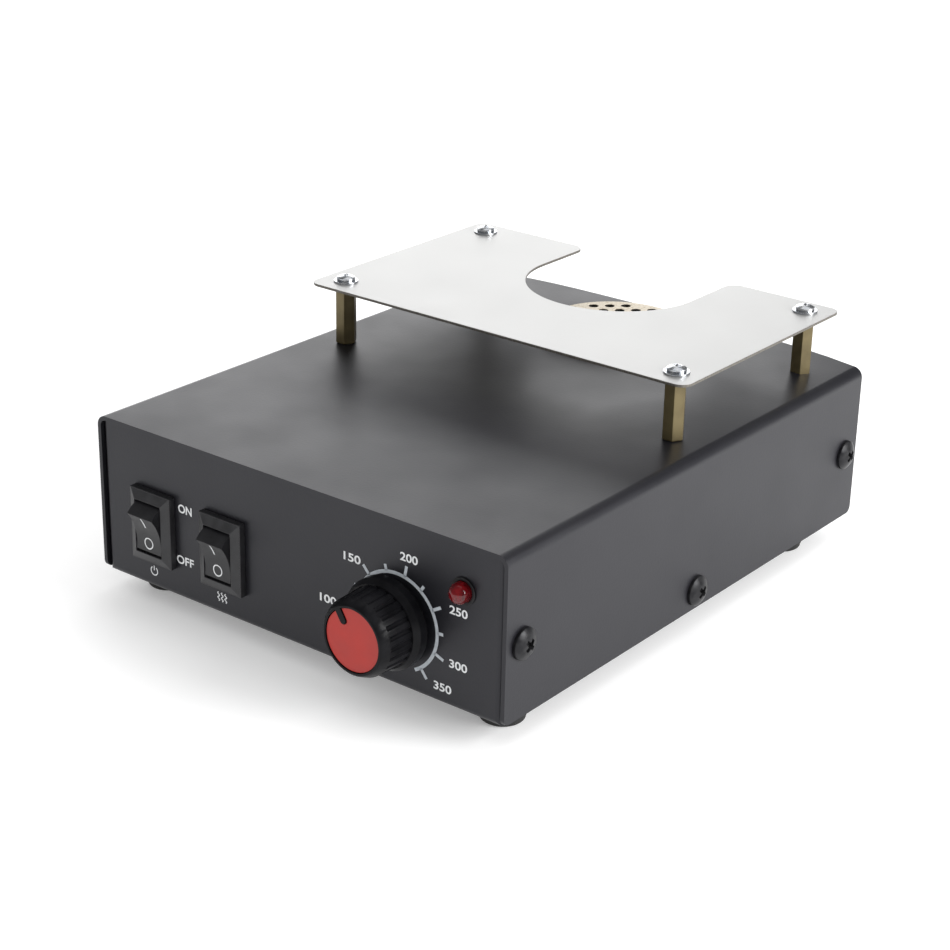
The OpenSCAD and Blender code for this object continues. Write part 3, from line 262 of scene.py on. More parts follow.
def zinc_plate():
    """Bright zinc plate: smooth metal with a faint blue cast and a very fine grain."""
    material = new_finish("bright_zinc_plate", (0.70, 0.72, 0.75), 0.22, 1.0)
    cloud = pattern(material, "Noise", Scale=700, Detail=3)
    tint(material, cloud, (0.60, 0.63, 0.68), (0.78, 0.79, 0.80))
    polish(material, cloud, 0.16, 0.30)
    grain(material, pattern(material, "Noise", Scale=3500, Detail=2), 0.006 * MM)
    return material


zinc = zinc_plate()
dress(zinc, "foot_screws", "foot_nuts")

# Rocker switch frames: a rim with sloping faces and a barrel moulded in one, snapped into panel windows.
# The nylon is black with a fine moulded skin, and spade terminals stand out of the barrel's floor.
BEZEL_T = 2.0 * MM
BEZEL_RIM = 0.35 * MM
BEZEL_RISE = 1.1 * MM
OPENING_W = 9.6 * MM
OPENING_H = 15.2 * MM
BARREL_SHOULDER = 1.1 * MM
BARREL_FLOOR = 3.0 * MM
FRAME_EDGE_R = 0.22 * MM
FACING = 0.9
FACING_FRONT = (radians(90), 0, 0)


def block(name, low, high):
    """A box between two corners, as a start for shaping."""
    clear_selection()
    low, high = Vector(low), Vector(high)
    bpy.ops.mesh.primitive_cube_add(size=1, location=(low + high) / 2)
    piece = bpy.context.object
    piece.name = name
    piece.scale = high - low
    bpy.ops.object.transform_apply(location=True, rotation=False, scale=True)
    return piece


def edit_shape(piece, kind):
    """Open a piece in edit mode with nothing selected, and hand over its mesh."""
    take(piece)
    bpy.ops.object.mode_set(mode="EDIT")
    bpy.ops.mesh.select_mode(type=kind)
    bpy.ops.mesh.select_all(action="DESELECT")
    return bmesh.from_edit_mesh(piece.data)


def edit_all(piece):
    """Open a piece in edit mode with all of it selected."""
    take(piece)
    bpy.ops.object.mode_set(mode="EDIT")
    bpy.ops.mesh.select_all(action="SELECT")


def pick_faces(piece, test):
    """Select in edit mode the faces whose normal passes a test."""
    shape = edit_shape(piece, "FACE")
    for face in shape.faces:
        face.select_set(test(face.normal))
    bmesh.update_edit_mesh(piece.data)


def modify(piece, kind, **settings):
    """Add a modifier and apply it."""
    take(piece)
    modifier = piece.modifiers.new(kind.title(), kind)
    for key, value in settings.items():
        setattr(modifier, key, value)
    bpy.ops.object.modifier_apply(modifier=modifier.name)


def round_edges(piece, width, segments=2, angle=30):
    """Round the sharp edges of a finished shape and keep its flat faces flat."""
    modify(piece, "BEVEL", width=width, segments=segments, limit_method="ANGLE", angle_limit=radians(angle),
           use_clamp_overlap=True, harden_normals=False)
    smooth(piece, 35)
    modify(piece, "WEIGHTED_NORMAL", keep_sharp=True, weight=100)


def moulded(name, colour, roughness, lift=1.5):
    """Moulded plastic: a fine spark-eroded skin with a little mottling."""
    material = new_finish(name, colour, roughness)
    mottle = pattern(material, "Noise", Scale=320, Detail=3)
    tint(material, mottle, colour, tuple(channel * lift for channel in colour))
    polish(material, mottle, roughness - 0.06, roughness + 0.06)
    grain(material, pattern(material, "Noise", Scale=5000, Detail=2), 0.008 * MM)
    return material


def switch_frame(name, node):
    """Frame and barrel of one switch."""
    low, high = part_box(node)
    half_w = (high[0] - low[0]) / 2
    half_h = (high[2] - low[2]) / 2
    reach = BEZEL_T + BEZEL_RISE
    barrel_depth = high[1] - low[1] - reach
    cavity_depth = barrel_depth + reach - BARREL_FLOOR
    slope = half_w - BEZEL_RIM - OPENING_W / 2
    inner_h = 2 * (half_h - BEZEL_RIM - slope)
    piece = block(name, (-half_w, -half_h, 0), (half_w, half_h, BEZEL_T))
    pick_faces(piece, lambda normal: normal.z < -FACING)
    bpy.ops.mesh.inset(thickness=BARREL_SHOULDER)
    extrude((0, 0, -barrel_depth))
    leave_edit()
    pick_faces(piece, lambda normal: normal.z > FACING)
    bpy.ops.mesh.inset(thickness=BEZEL_RIM)
    bpy.ops.mesh.inset(thickness=slope)
    bpy.ops.transform.resize(value=(1, OPENING_H / inner_h, 1), center_override=(0, 0, BEZEL_T))
    bpy.ops.transform.translate(value=(0, 0, BEZEL_RISE))
    extrude((0, 0, -cavity_depth))
    leave_edit()
    round_edges(piece, FRAME_EDGE_R, 3)
    settle(piece, (middle(node).x, low[1] + reach, middle(node).z), FACING_FRONT)
    finish_piece(piece, nylon, "switch_plastic", "housing", node)


nylon = moulded("black_switch_nylon", (0.020, 0.020, 0.022), 0.40)
switch_frame("power_switch_frame", "power_switch_body")
switch_frame("heater_switch_frame", "heater_switch_body")

# Rockers: moulded keys that tilt on two pins, with a face hollowed for a finger.
# They carry a white bar and a white ring, printed in the hollow.
ROCKER_GAP = 0.2 * MM
ROCKER_EDGE = 5.8 * MM
ROCKER_HOLLOW = 1.2 * MM
ROCKER_FOOT = 1.8 * MM
ROCKER_TILT = radians(15)
KEY_EDGE_R = 0.25 * MM
PIN_R = 1.0 * MM
PIN_REACH = 5.6 * MM
MARK_T = 0.05 * MM
MARK_SINK = 0.015 * MM
BAR_HALF_W = 0.22 * MM
BAR_LOW = 1.7 * MM
BAR_HIGH = 5.2 * MM
BAR_CUTS = 5
RING_Y = -3.4 * MM
RING_OUTER_R = 1.66 * MM
RING_INNER_R = 1.33 * MM
rocker_r = OPENING_H / 2 - ROCKER_GAP
rocker_w = OPENING_W - 2 * ROCKER_GAP
face_r = (ROCKER_EDGE**2 + ROCKER_HOLLOW**2) / (2 * ROCKER_HOLLOW)
face_z = sqrt(rocker_r**2 - ROCKER_EDGE**2) - ROCKER_HOLLOW + face_r
ALONG_X = (0, radians(90), 0)
pivots = {joint["name"]: joint["pos_m"] for joint in frame["joints"]}


def rod(name, radius, length, place=(0, 0, 0), turn=(0, 0, 0), sides=64):
    """A round bar about its middle, as a start for shaping or as a cutter."""
    clear_selection()
    bpy.ops.mesh.primitive_cylinder_add(
        vertices=sides, radius=radius, depth=length, location=place, rotation=turn
    )
    piece = bpy.context.object
    piece.name = name
    bpy.ops.object.transform_apply(location=True, rotation=True, scale=True)
    return piece


def join(pieces):
    """Make several shapes one object."""
    clear_selection()
    for piece in pieces:
        piece.select_set(True)
    bpy.context.view_layer.objects.active = pieces[0]
    bpy.ops.object.join()
    return pieces[0]


def combine(piece, other, operation="DIFFERENCE"):
    """Cut a tool shape out of a piece, or weld it on, and throw the tool away."""
    modify(piece, "BOOLEAN", object=other, operation=operation, solver="EXACT")
    bpy.data.objects.remove(other)


def screen_ink(name, low, high):
    """Screen-printed ink: slightly uneven in cover and sheen."""
    material = new_finish(name, high, 0.5)
    tint(material, pattern(material, "Noise", Scale=900, Detail=3), low, high)
    grain(material, pattern(material, "Noise", Scale=4000, Detail=2), 0.01 * MM)
    return material


def lay_on_hollow(mark):
    """Bend a flat mark onto the rocker's hollow face."""
    for vertex in mark.data.vertices:
        vertex.co.z += face_z - sqrt(face_r**2 - vertex.co.y**2) - MARK_SINK


def rocker_key(name, node, joint):
    """One rocker with its two marks."""
    key = rod(name, rocker_r, rocker_w, turn=ALONG_X, sides=128)
    edit_all(key)
    bpy.ops.mesh.bisect(plane_co=(0, 0, -ROCKER_FOOT), plane_no=(0, 0, 1), use_fill=True, clear_inner=True)
    leave_edit()
    combine(key, rod("hollow", face_r, 2 * rocker_w, (0, 0, face_z), ALONG_X, 256))
    combine(key, rod("pins", PIN_R, 2 * PIN_REACH, (0, 0, 0), ALONG_X, 32), "UNION")
    round_edges(key, KEY_EDGE_R, 3)
    bar = block(name + "_bar", (-BAR_HALF_W, BAR_LOW, 0), (BAR_HALF_W, BAR_HIGH, MARK_T))
    edit_all(bar)
    bpy.ops.mesh.subdivide(number_cuts=BAR_CUTS)
    leave_edit()
    corners = [(RING_INNER_R, 0), (RING_OUTER_R, 0), (RING_OUTER_R, MARK_T), (RING_INNER_R, MARK_T)]
    ring = turned(name + "_ring", [*corners, corners[0]], 48)
    settle(ring, (0, RING_Y, 0))
    for mark in (bar, ring):
        lay_on_hollow(mark)
    for piece in (key, bar, ring):
        settle(piece, turn=(ROCKER_TILT, 0, 0))
        settle(piece, pivots[joint], FACING_FRONT)
    finish_piece(key, key_nylon, "switch_plastic", node, node)
    for mark in (bar, ring):
        finish_piece(mark, ink, "switch_plastic", node)


ink = screen_ink("white_ink", (0.80, 0.82, 0.83), (0.90, 0.91, 0.92))
key_nylon = moulded("grey_black_key_nylon", (0.013, 0.013, 0.015), 0.42, 1.4)
rocker_key("power_key", "power_rocker", "power_rocker_tilt")
rocker_key("heater_key", "heater_rocker", "heater_rocker_tilt")


def drawn_metal(name, low, high, roughness, stretch=(1, 1, 1)):
    """Bare metal with drawing lines or a mill skin, stretched along the way it was worked."""
    material = new_finish(name, high, roughness, 1.0)
    line = pattern(material, "Noise", stretch, Scale=900, Detail=4)
    tint(material, line, low, high)
    polish(material, line, roughness - 0.07, roughness + 0.08)
    grain(material, line, 0.008 * MM)
    return material


terminal_brass = drawn_metal("stamped_brass", (0.50, 0.40, 0.19), (0.66, 0.54, 0.28), 0.3)
dress(terminal_brass, "switch_terminals", "inlet_pins")

# Indicator lamp: a tinted resin dome in a black collar, pressed into the panel from behind.
# The resin is deep red, glossy and partly clear.
LAMP_R = 2.75 * MM
LAMP_BACK = 5.0 * MM
LAMP_RIM_R = 3.15 * MM
LAMP_RIM_T = 1.0 * MM
COLLAR_WALL = 0.5 * MM
COLLAR_LIP = 0.4 * MM
COLLAR_GAP = 0.05 * MM
COLLAR_FLANGE_T = 0.5 * MM
COLLAR_DEPTH = 4.0 * MM
COLLAR_EDGE_R = 0.15 * MM
panel_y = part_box("base_tray")[0][1]


def tinted_resin():
    """Red cast resin: partly clear, glossy and faintly streaked."""
    material = new_finish("red_lamp_resin", (0.18, 0.004, 0.008), 0.10)
    shader = material.node_tree.nodes["Principled BSDF"]
    shader.inputs["Transmission Weight"].default_value = 0.35
    shader.inputs["IOR"].default_value = 1.52
    streak = pattern(material, "Noise", (1, 1, 0.4), Scale=600, Detail=2)
    tint(material, streak, (0.11, 0.003, 0.006), (0.25, 0.006, 0.010))
    polish(material, streak, 0.07, 0.16)
    return material


lamp_place = (middle("lamp").x, panel_y, middle("lamp").z)
lamp_reach = panel_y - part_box("lamp")[0][1]
dome = arc((0, lamp_reach - LAMP_R), LAMP_R, 0, 90, 12)
back = -LAMP_BACK - LAMP_RIM_T
rim = [(LAMP_RIM_R, back), (LAMP_RIM_R, -LAMP_BACK), (LAMP_R, -LAMP_BACK)]
lens = turned("lamp_dome", [(0, back), *rim, *dome])
smooth(lens)
settle(lens, lamp_place, FACING_FRONT)
finish_piece(lens, tinted_resin(), "lamp_red", "housing", "lamp")
collar_r = LAMP_R + COLLAR_GAP
tube_r = collar_r + COLLAR_WALL
outline = [(collar_r, -COLLAR_DEPTH), (tube_r, -COLLAR_DEPTH), (tube_r, 0)]
outline += [(tube_r + COLLAR_LIP, 0), (tube_r + COLLAR_LIP, COLLAR_FLANGE_T)]
outline += [(collar_r, COLLAR_FLANGE_T), (collar_r, -COLLAR_DEPTH)]
collar = turned("lamp_collar_ring", outline)
round_edges(collar, COLLAR_EDGE_R, 3)
settle(collar, lamp_place, FACING_FRONT)
collar_plastic = moulded("black_collar_plastic", (0.005, 0.005, 0.006), 0.6)
finish_piece(collar, collar_plastic, "collar_plastic", "housing", "lamp_collar")

# Rotary control: a stamped can with a bush through the panel, held by a washer and a nut.
# Its steel shaft carries the knob.
dress(zinc, "potentiometer", "pot_washer", "pot_nut", "pot_shaft")

# Mains inlet: a moulded socket with three brass blades, let into the rear panel and held by two screws.
# The flange has softened edges and the mouth is bevelled at its upper corners.
INLET_EDGE_R = 0.3 * MM


def rounded_copy(name, node, width, segments=2):
    """A copy of a CAD node with its edges rounded."""
    piece = bpy.data.objects.new(name, nodes[node].data.copy())
    bpy.context.scene.collection.objects.link(piece)
    edit_all(piece)
    bpy.ops.mesh.remove_doubles(threshold=WELD_GAP)
    bpy.ops.mesh.dissolve_limited(angle_limit=radians(1))
    leave_edit()
    round_edges(piece, width, segments)
    return piece


socket = rounded_copy("inlet_socket", "mains_inlet", INLET_EDGE_R, 3)
inlet_plastic = moulded("black_inlet_plastic", (0.02, 0.02, 0.021), 0.5)
finish_piece(socket, inlet_plastic, "inlet_plastic", "housing", "mains_inlet")
dress(zinc, "inlet_screws", "inlet_nuts")

# Control electronics: a glass-fibre board on metal spacers, with a transformer, a triac on its heat sink,
# two capacitors and a terminal block. They sit under the cover.
dress(moulded("green_solder_mask", (0.03, 0.16, 0.07), 0.4, 1.3), "control_board")
dress(zinc, "board_spacers", "board_screws")
laminations = drawn_metal("varnished_laminations", (0.16, 0.16, 0.17), (0.30, 0.30, 0.32), 0.5, (1, 12, 1))
dress(laminations, "transformer_core")
dress(moulded("yellow_winding_tape", (0.60, 0.42, 0.08), 0.35, 1.2), "transformer_winding")
aluminium = drawn_metal("extruded_aluminium", (0.62, 0.63, 0.65), (0.78, 0.79, 0.80), 0.35, (4, 4, 0.3))
dress(aluminium, "heat_sink")
dress(moulded("black_epoxy", (0.02, 0.02, 0.02), 0.6), "triac")
dress(moulded("blue_shrink_sleeve", (0.02, 0.03, 0.14), 0.25, 1.4), "capacitors")
dress(moulded("green_terminal_plastic", (0.03, 0.22, 0.07), 0.45, 1.3), "terminal_block")

# Fan: a square moulded frame with a motor base on three struts, and a seven-bladed rotor.
# Four long screws hold it and the heater to the floor.
fan_plastic = moulded("black_fan_plastic", (0.018, 0.018, 0.019), 0.5)
dress(fan_plastic, "fan_frame", "fan_rotor")
dress(zinc, "fan_screws", "fan_nuts")

# Heater: a flared steel tube over the fan, with a coil of resistance wire on two crossed mica boards.
# The steel is lightly browned by heat.
dress(drawn_metal("heat_tinted_steel", (0.40, 0.36, 0.32), (0.60, 0.58, 0.55), 0.38, (1, 1, 6)), "heater_can")
dress(moulded("mica_board", (0.50, 0.42, 0.27), 0.4, 1.3), "heater_former")
dress(drawn_metal("oxidised_wire", (0.24, 0.21, 0.19), (0.42, 0.38, 0.34), 0.5), "heater_coil")

# Air outlet: a pierced ceramic disc that sits in the heater tube's mouth and stands through the roof.
# It is unglazed cream stoneware with a fine speckle and a softened rim; the walls of its holes are painted
# near black as painted shade.
DISC_HOLES_R = 20.0 * MM
DISC_EDGE_R = 0.18 * MM
WALL_LEAN = 0.3


def stoneware():
    """Unglazed cream ceramic: chalky, with a fine brown speckle."""
    material = new_finish("cream_stoneware", (0.62, 0.56, 0.46), 0.75)
    speckle = pattern(material, "Noise", Scale=1400, Detail=5)
    tint(material, speckle, (0.44, 0.37, 0.27), (0.64, 0.58, 0.48), 0.32, 0.5)
    grain(material, pattern(material, "Noise", Scale=2600, Detail=4), 0.03 * MM)
    return material


def painted_hole_shade():
    """Walls of the air holes, painted brown-black and dull as painted shade in the holes."""
    material = new_finish("painted_shade_hole_wall", (0.012, 0.010, 0.009), 0.9)
    hole_shade_mottle = pattern(material, "Noise", Scale=700, Detail=4)
    # The brown-black mottle on the hole walls is painted shade.
    tint(material, hole_shade_mottle, (0.006, 0.005, 0.005), (0.030, 0.024, 0.018), 0.4, 0.8)
    grain(material, hole_shade_mottle, 0.02 * MM)
    return material


tile = rounded_copy("ceramic_outlet", "outlet_disc", DISC_EDGE_R)
finish_piece(tile, stoneware(), "ceramic", "housing", "outlet_disc")
tile.data.materials.append(painted_hole_shade())
outlet = middle("outlet_disc")
# The walls of the holes take the second material, which is painted shade.
for face in tile.data.polygons:
    inside = (face.center.xy - outlet.xy).length < DISC_HOLES_R
    if inside and abs(face.normal.z) < WALL_LEAN:
        face.material_index = 1

# Cover: one steel sheet folded over the tray and open at both ends, so that its edges frame the panels.
# It has an opening for the outlet, four pillar holes in the roof and three screw holes in each side.
# The roof bows up a little towards the rear, where a short lip turns down to meet the rear panel.
SHEET_T = 1.2 * MM
COVER_BEND_R = 3.0 * MM
COVER_CORNER_R = 2.0 * MM
OUTLET_HOLE_R = 22.15 * MM
STUD_HOLE_R = 1.6 * MM
SIDE_HOLE_R = 2.1 * MM
END_SCREW_INSET = 6.8 * MM
END_SCREW_RISE = 20.5 * MM
MID_SCREW_RISE = 5.5 * MM
PLATE_HOLE_INSET = 7.7 * MM
ROOF_CROWN = 2.0 * MM
CROWN_BANDS = 16
COVER_EDGE_R = 0.18 * MM
DRILL_LEN = 8.0 * MM
LEVEL = 0.99
HAIR = 0.01 * MM


def pick_edges(piece, test):
    """Select in edit mode the edges whose two ends pass a test."""
    shape = edit_shape(piece, "EDGE")
    for edge in shape.edges:
        edge.select_set(test(edge.verts[0].co, edge.verts[1].co))
    bmesh.update_edit_mesh(piece.data)


def pick_corners(piece, test):
    """Select in edit mode the vertices that pass a test."""
    shape = edit_shape(piece, "VERT")
    for vertex in shape.verts:
        vertex.select_set(test(vertex.co))
    bmesh.update_edit_mesh(piece.data)


def slice_roof(piece, place, across):
    """Divide the roof along a plane, so that it can bow."""
    pick_faces(piece, lambda normal: normal.z > LEVEL)
    bpy.ops.mesh.bisect(plane_co=place, plane_no=across)
    leave_edit()


def crown_rise(x, y):
    """Rise of the bowed roof: none at the bends and in the front half, most at the rear edge."""
    share = max(0.0, (y - crown_start) / crown_len)
    return ROOF_CROWN * max(0.0, 1 - (x / crown_half) ** 4) * share**2 * (3 - 2 * share)


cover_low, cover_high = (Vector(corner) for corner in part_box("top_cover"))
plate_low, plate_high = (Vector(corner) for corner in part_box("work_plate"))
plate_spots = [
    (x, y)
    for y in (plate_low.y + PLATE_HOLE_INSET, plate_high.y - PLATE_HOLE_INSET)
    for x in (plate_low.x + PLATE_HOLE_INSET, plate_high.x - PLATE_HOLE_INSET)
]
side_spots = [
    (cover_low.y + END_SCREW_INSET, cover_low.z + END_SCREW_RISE),
    ((cover_low.y + cover_high.y) / 2, cover_low.z + MID_SCREW_RISE),
    (cover_high.y - END_SCREW_INSET, cover_low.z + END_SCREW_RISE),
]
cover = block("folded_cover", cover_low, cover_high)
pick_faces(cover, lambda normal: normal.z < -FACING or abs(normal.y) > FACING)
bpy.ops.mesh.delete(type="FACE")
leave_edit()
pick_edges(cover, lambda a, b: min(a.z, b.z) > cover_high.z - HAIR and abs(a.x - b.x) < HAIR)
bpy.ops.mesh.bevel(offset=COVER_BEND_R, segments=8, affect="EDGES")
leave_edit()
pick_corners(cover, lambda place: place.z < cover_low.z + HAIR)
bpy.ops.mesh.bevel(offset=COVER_CORNER_R, segments=6, affect="VERTICES")
leave_edit()
crown_half = cover_high.x - COVER_BEND_R
crown_start = (cover_low.y + cover_high.y) / 2
crown_len = cover_high.y - crown_start
for i in range(CROWN_BANDS):
    across = (2 * i / CROWN_BANDS - 1) * crown_half
    along = crown_start + crown_len * i / CROWN_BANDS
    slice_roof(cover, (across, 0, 0), (1, 0, 0))
    slice_roof(cover, (0, along, 0), (0, 1, 0))
for vertex in cover.data.vertices:
    if vertex.co.z > cover_high.z - HAIR:
        vertex.co.z += crown_rise(vertex.co.x, vertex.co.y)
pick_edges(cover, lambda a, b: min(a.z, b.z) > cover_high.z - HAIR and min(a.y, b.y) > cover_high.y - HAIR)
extrude((0, 0, -SHEET_T))
bpy.ops.transform.resize(value=(1, 1, 0), center_override=(0, 0, cover_high.z - SHEET_T))
bpy.ops.mesh.select_all(action="SELECT")
bpy.ops.mesh.normals_make_consistent(inside=False)
leave_edit()
modify(cover, "SOLIDIFY", thickness=SHEET_T, offset=-1, use_even_offset=True)
drills = [rod("outlet_drill", OUTLET_HOLE_R, DRILL_LEN, (0, outlet.y, cover_high.z), sides=96)]
drills += [
    rod("stud_drill", STUD_HOLE_R, DRILL_LEN, (x, y, cover_high.z), sides=24) for x, y in plate_spots
]
drills += [
    rod("side_drill", SIDE_HOLE_R, DRILL_LEN, (x, y, z), ALONG_X, 24)
    for x in (cover_low.x, cover_high.x)
    for y, z in side_spots
]
combine(cover, join(drills))
round_edges(cover, COVER_EDGE_R)
finish_piece(cover, coat, "powder_coat", "housing", "top_cover")

# Cover screws: six broad black cross-head screws, three through each side into the tray's tabs.
# The heads are pressed steel with a black oxide skin, a little rubbed in patches.
COVER_HEAD_R = 4.3 * MM
COVER_HEAD_H = 2.44 * MM
COVER_SHANK_R = 2.0 * MM
COVER_SHANK_LEN = 6.0 * MM
COVER_RIM_SHARE = 0.35
COVER_RECESS_R = 2.9 * MM
COVER_RECESS_W = 1.45 * MM
COVER_SCREW_TURN = 45
RECESS_FLOOR_SHARE = 0.4
RECESS_TAPER = (0.45, 0.7, 1)
SCREW_EDGE_R = 0.12 * MM


def cross_head(name, head_r, head_h, shank_r, shank_len, recess_r, recess_w, turn, rim_share):
    """A round-headed screw standing on its seat, with a tapered cross recess."""
    rim_h = head_h * rim_share
    crown_h = head_h - rim_h
    crown_r = (head_r**2 + crown_h**2) / (2 * crown_h)
    swing = asin(head_r / crown_r) * 180 / pi
    crown = arc((0, head_h - crown_r), crown_r, 90 - swing, 90, 10)
    outline = [(0, -shank_len), (shank_r, -shank_len), (shank_r, 0), (head_r, 0), *crown]
    screw = turned(name, outline, 48)
    for quarter in (0, 90):
        low = (-recess_r, -recess_w / 2, head_h * RECESS_FLOOR_SHARE)
        wing = block("recess_wing", low, (recess_r, recess_w / 2, 2 * head_h))
        pick_faces(wing, lambda normal: normal.z < -FACING)
        bpy.ops.transform.resize(value=RECESS_TAPER, center_override=(0, 0, 0))
        leave_edit()
        settle(wing, turn=(0, 0, radians(quarter + turn)))
        combine(screw, wing)
    round_edges(screw, SCREW_EDGE_R)
    return screw


def black_oxide():
    """Black oxide on steel: dark, half-gloss and slightly rubbed."""
    material = new_finish("black_oxide_steel", (0.018, 0.018, 0.020), 0.36, 0.3, specular=0.3)
    rub = pattern(material, "Noise", Scale=500, Detail=4)
    tint(material, rub, (0.012, 0.012, 0.014), (0.034, 0.034, 0.036), 0.4, 0.75)
    polish(material, rub, 0.30, 0.46)
    grain(material, pattern(material, "Noise", Scale=3200, Detail=2), 0.012 * MM)
    return material


def copies(piece, places, turn=(0, 0, 0)):
    """Copies of a shape at several places, each with its own mesh; the shape itself takes the first."""
    family = [piece]
    for place in places[1:]:
        take(piece)
        bpy.ops.object.duplicate(linked=False)
        family.append(bpy.context.object)
    for member, place in zip(family, places):
        settle(member, place, turn)
    return family


screws = []
recess_sizes = (COVER_RECESS_R, COVER_RECESS_W, COVER_SCREW_TURN, COVER_RIM_SHARE)
head_sizes = (COVER_HEAD_R, COVER_HEAD_H, COVER_SHANK_R, COVER_SHANK_LEN, *recess_sizes)
for side, turn in ((cover_low.x, -90), (cover_high.x, 90)):
    screw = cross_head("cover_screw", *head_sizes)
    screws += copies(screw, [(side, y, z) for y, z in side_spots], (0, radians(turn), 0))
finish_piece(join(screws), black_oxide(), "black_screw", "housing", "cover_screws")

# Pillars: four brass hex standoffs with a stud below, nutted under the roof, and a tapped hole on top.
# They are turned from bar, so the ends are faced and chamfered and the flats keep drawing lines.
PILLAR_AF = 5.5 * MM
PILLAR_CHAMFER = 0.35 * MM
STUD_R = 1.5 * MM
TAP_R = 1.6 * MM
TAP_DEPTH = 9.0 * MM
PILLAR_EDGE_R = 0.12 * MM


def turned_brass():
    """Drawn brass bar: warm, faintly tarnished, with fine lines along its length."""
    material = new_finish("drawn_brass", (0.16, 0.128, 0.064), 0.36, 0.6)
    line = pattern(material, "Noise", (1, 1, 0.06), Scale=2600, Detail=3)
    tarnish = pattern(material, "Noise", Scale=160, Detail=4)
    tint(material, tarnish, (0.13, 0.104, 0.052), (0.18, 0.144, 0.072), 0.3, 0.62)
    polish(material, line, 0.30, 0.42)
    grain(material, line, 0.004 * MM)
    return material


pillar_low, pillar_high = (Vector(corner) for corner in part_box("pillar_front_left"))
pillar_len = pillar_high.z - cover_high.z
stud_len = cover_high.z - pillar_low.z
pillar = rod("brass_pillar", PILLAR_AF / sqrt(3), pillar_len, (0, 0, pillar_len / 2), (0, 0, radians(30)), 6)
pick_edges(pillar, lambda a, b: abs(a.z - b.z) < HAIR)
bpy.ops.mesh.bevel(offset=PILLAR_CHAMFER, segments=1, affect="EDGES")
leave_edit()
round_edges(pillar, PILLAR_EDGE_R, angle=20)
combine(pillar, rod("stud", STUD_R, 2 * stud_len, sides=32), "UNION")
combine(pillar, rod("tap", TAP_R, 2 * TAP_DEPTH, (0, 0, pillar_len), sides=32))
smooth(pillar, 30)
brass = turned_brass()
pillar_set = copies(pillar, [(x, y, cover_high.z) for x, y in plate_spots])
for pillar, corner in zip(pillar_set, CORNERS):
    pillar.name = "brass_pillar_" + corner
    finish_piece(pillar, brass, "brass", "housing", "pillar_" + corner)
dress(zinc, "pillar_nuts")

# Work plate: a stainless sheet with rounded corners and a window, open to the rear, over the air outlet.
# It is laser cut and finely bead blasted, so it is pale and even with a soft sheen.
# Its cut edges are browned by the cut and painted darker still as painted shade.
PLATE_CORNER_R = 3.5 * MM
WINDOW_R = 26.5 * MM
WINDOW_DEPTH = 48.7 * MM
WINDOW_SHIFT = 2.0 * MM
MOUTH_R = 4.0 * MM
PLATE_HOLE_R = 1.6 * MM
PLATE_EDGE_R = 0.12 * MM
OVERCUT = 1.0 * MM
CUT_LEAN = 0.5


def blasted_steel():
    """Bead-blasted stainless steel: bright, even and matte, with a very fine tooth."""
    material = new_finish("blasted_stainless_steel", (0.51, 0.51, 0.505), 0.42, 0.75)
    cloud = pattern(material, "Noise", Scale=60, Detail=4)
    tint(material, cloud, (0.50, 0.50, 0.495), (0.52, 0.52, 0.515))
    polish(material, cloud, 0.41, 0.45)
    grain(material, pattern(material, "Noise", Scale=3000, Detail=3), 0.012 * MM)
    return material


def shaded_cut_edge():
    """Laser-cut edge of the sheet: browned by the cut and darkened further as painted shade, dull and finely
    ridged down its thickness.
    """
    material = new_finish("cut_edge_with_painted_shade", (0.17, 0.16, 0.14), 0.5, 0.75)
    ridge = pattern(material, "Noise", (1, 1, 0.1), Scale=2400, Detail=2)
    tint(material, ridge, (0.13, 0.12, 0.105), (0.22, 0.205, 0.18))
    polish(material, ridge, 0.45, 0.58)
    grain(material, ridge, 0.01 * MM)
    return material


plate = block("steel_work_plate", plate_low, plate_high)
pick_edges(plate, lambda a, b: abs(a.z - b.z) > HAIR)
bpy.ops.mesh.bevel(offset=PLATE_CORNER_R, segments=10, affect="EDGES")
leave_edit()
window_y = plate_high.y - WINDOW_DEPTH + WINDOW_R
combine(plate, rod("window_end", WINDOW_R, DRILL_LEN, (WINDOW_SHIFT, window_y, plate_low.z), sides=128))
mouth_low = (WINDOW_SHIFT - WINDOW_R, window_y, plate_low.z - OVERCUT)
mouth_high = (WINDOW_SHIFT + WINDOW_R, plate_high.y + OVERCUT, plate_high.z + OVERCUT)
combine(plate, block("window_mouth", mouth_low, mouth_high))
drills = [
    rod("plate_drill", PLATE_HOLE_R, DRILL_LEN, (x, y, plate_low.z), sides=32) for x, y in plate_spots
]
combine(plate, join(drills))
pick_edges(
    plate,
    lambda a, b: abs(a.z - b.z) > HAIR
    and abs(abs(a.x - WINDOW_SHIFT) - WINDOW_R) < HAIR
    and a.y > plate_high.y - HAIR,
)
bpy.ops.mesh.bevel(offset=MOUTH_R, segments=8, affect="EDGES")
leave_edit()
round_edges(plate, PLATE_EDGE_R)
finish_piece(plate, blasted_steel(), "plate_steel", "housing", "work_plate")
plate.data.materials.append(shaded_cut_edge())
# The plate's side faces take the second material: a browned cut edge, painted darker as painted shade.
for face in plate.data.polygons:
    if -FACING < face.normal.z < CUT_LEAN:
        face.material_index = 1

# Plate screws: four bright pan-head cross screws on plain washers, driven into the pillars.
# Heads and washers are zinc plated; the recesses stand at a slant, as they were left.
WASHER_R = 3.6 * MM
WASHER_T = 0.5 * MM
SMALL_HEAD_R = 2.7 * MM
SMALL_HEAD_H = 1.56 * MM
SMALL_SHANK_R = 1.5 * MM
SMALL_RIM_SHARE = 0.55
SMALL_RECESS_R = 1.6 * MM
SMALL_RECESS_W = 0.75 * MM
PLATE_SCREW_TURN = 25
WASHER_EDGE_R = 0.1 * MM

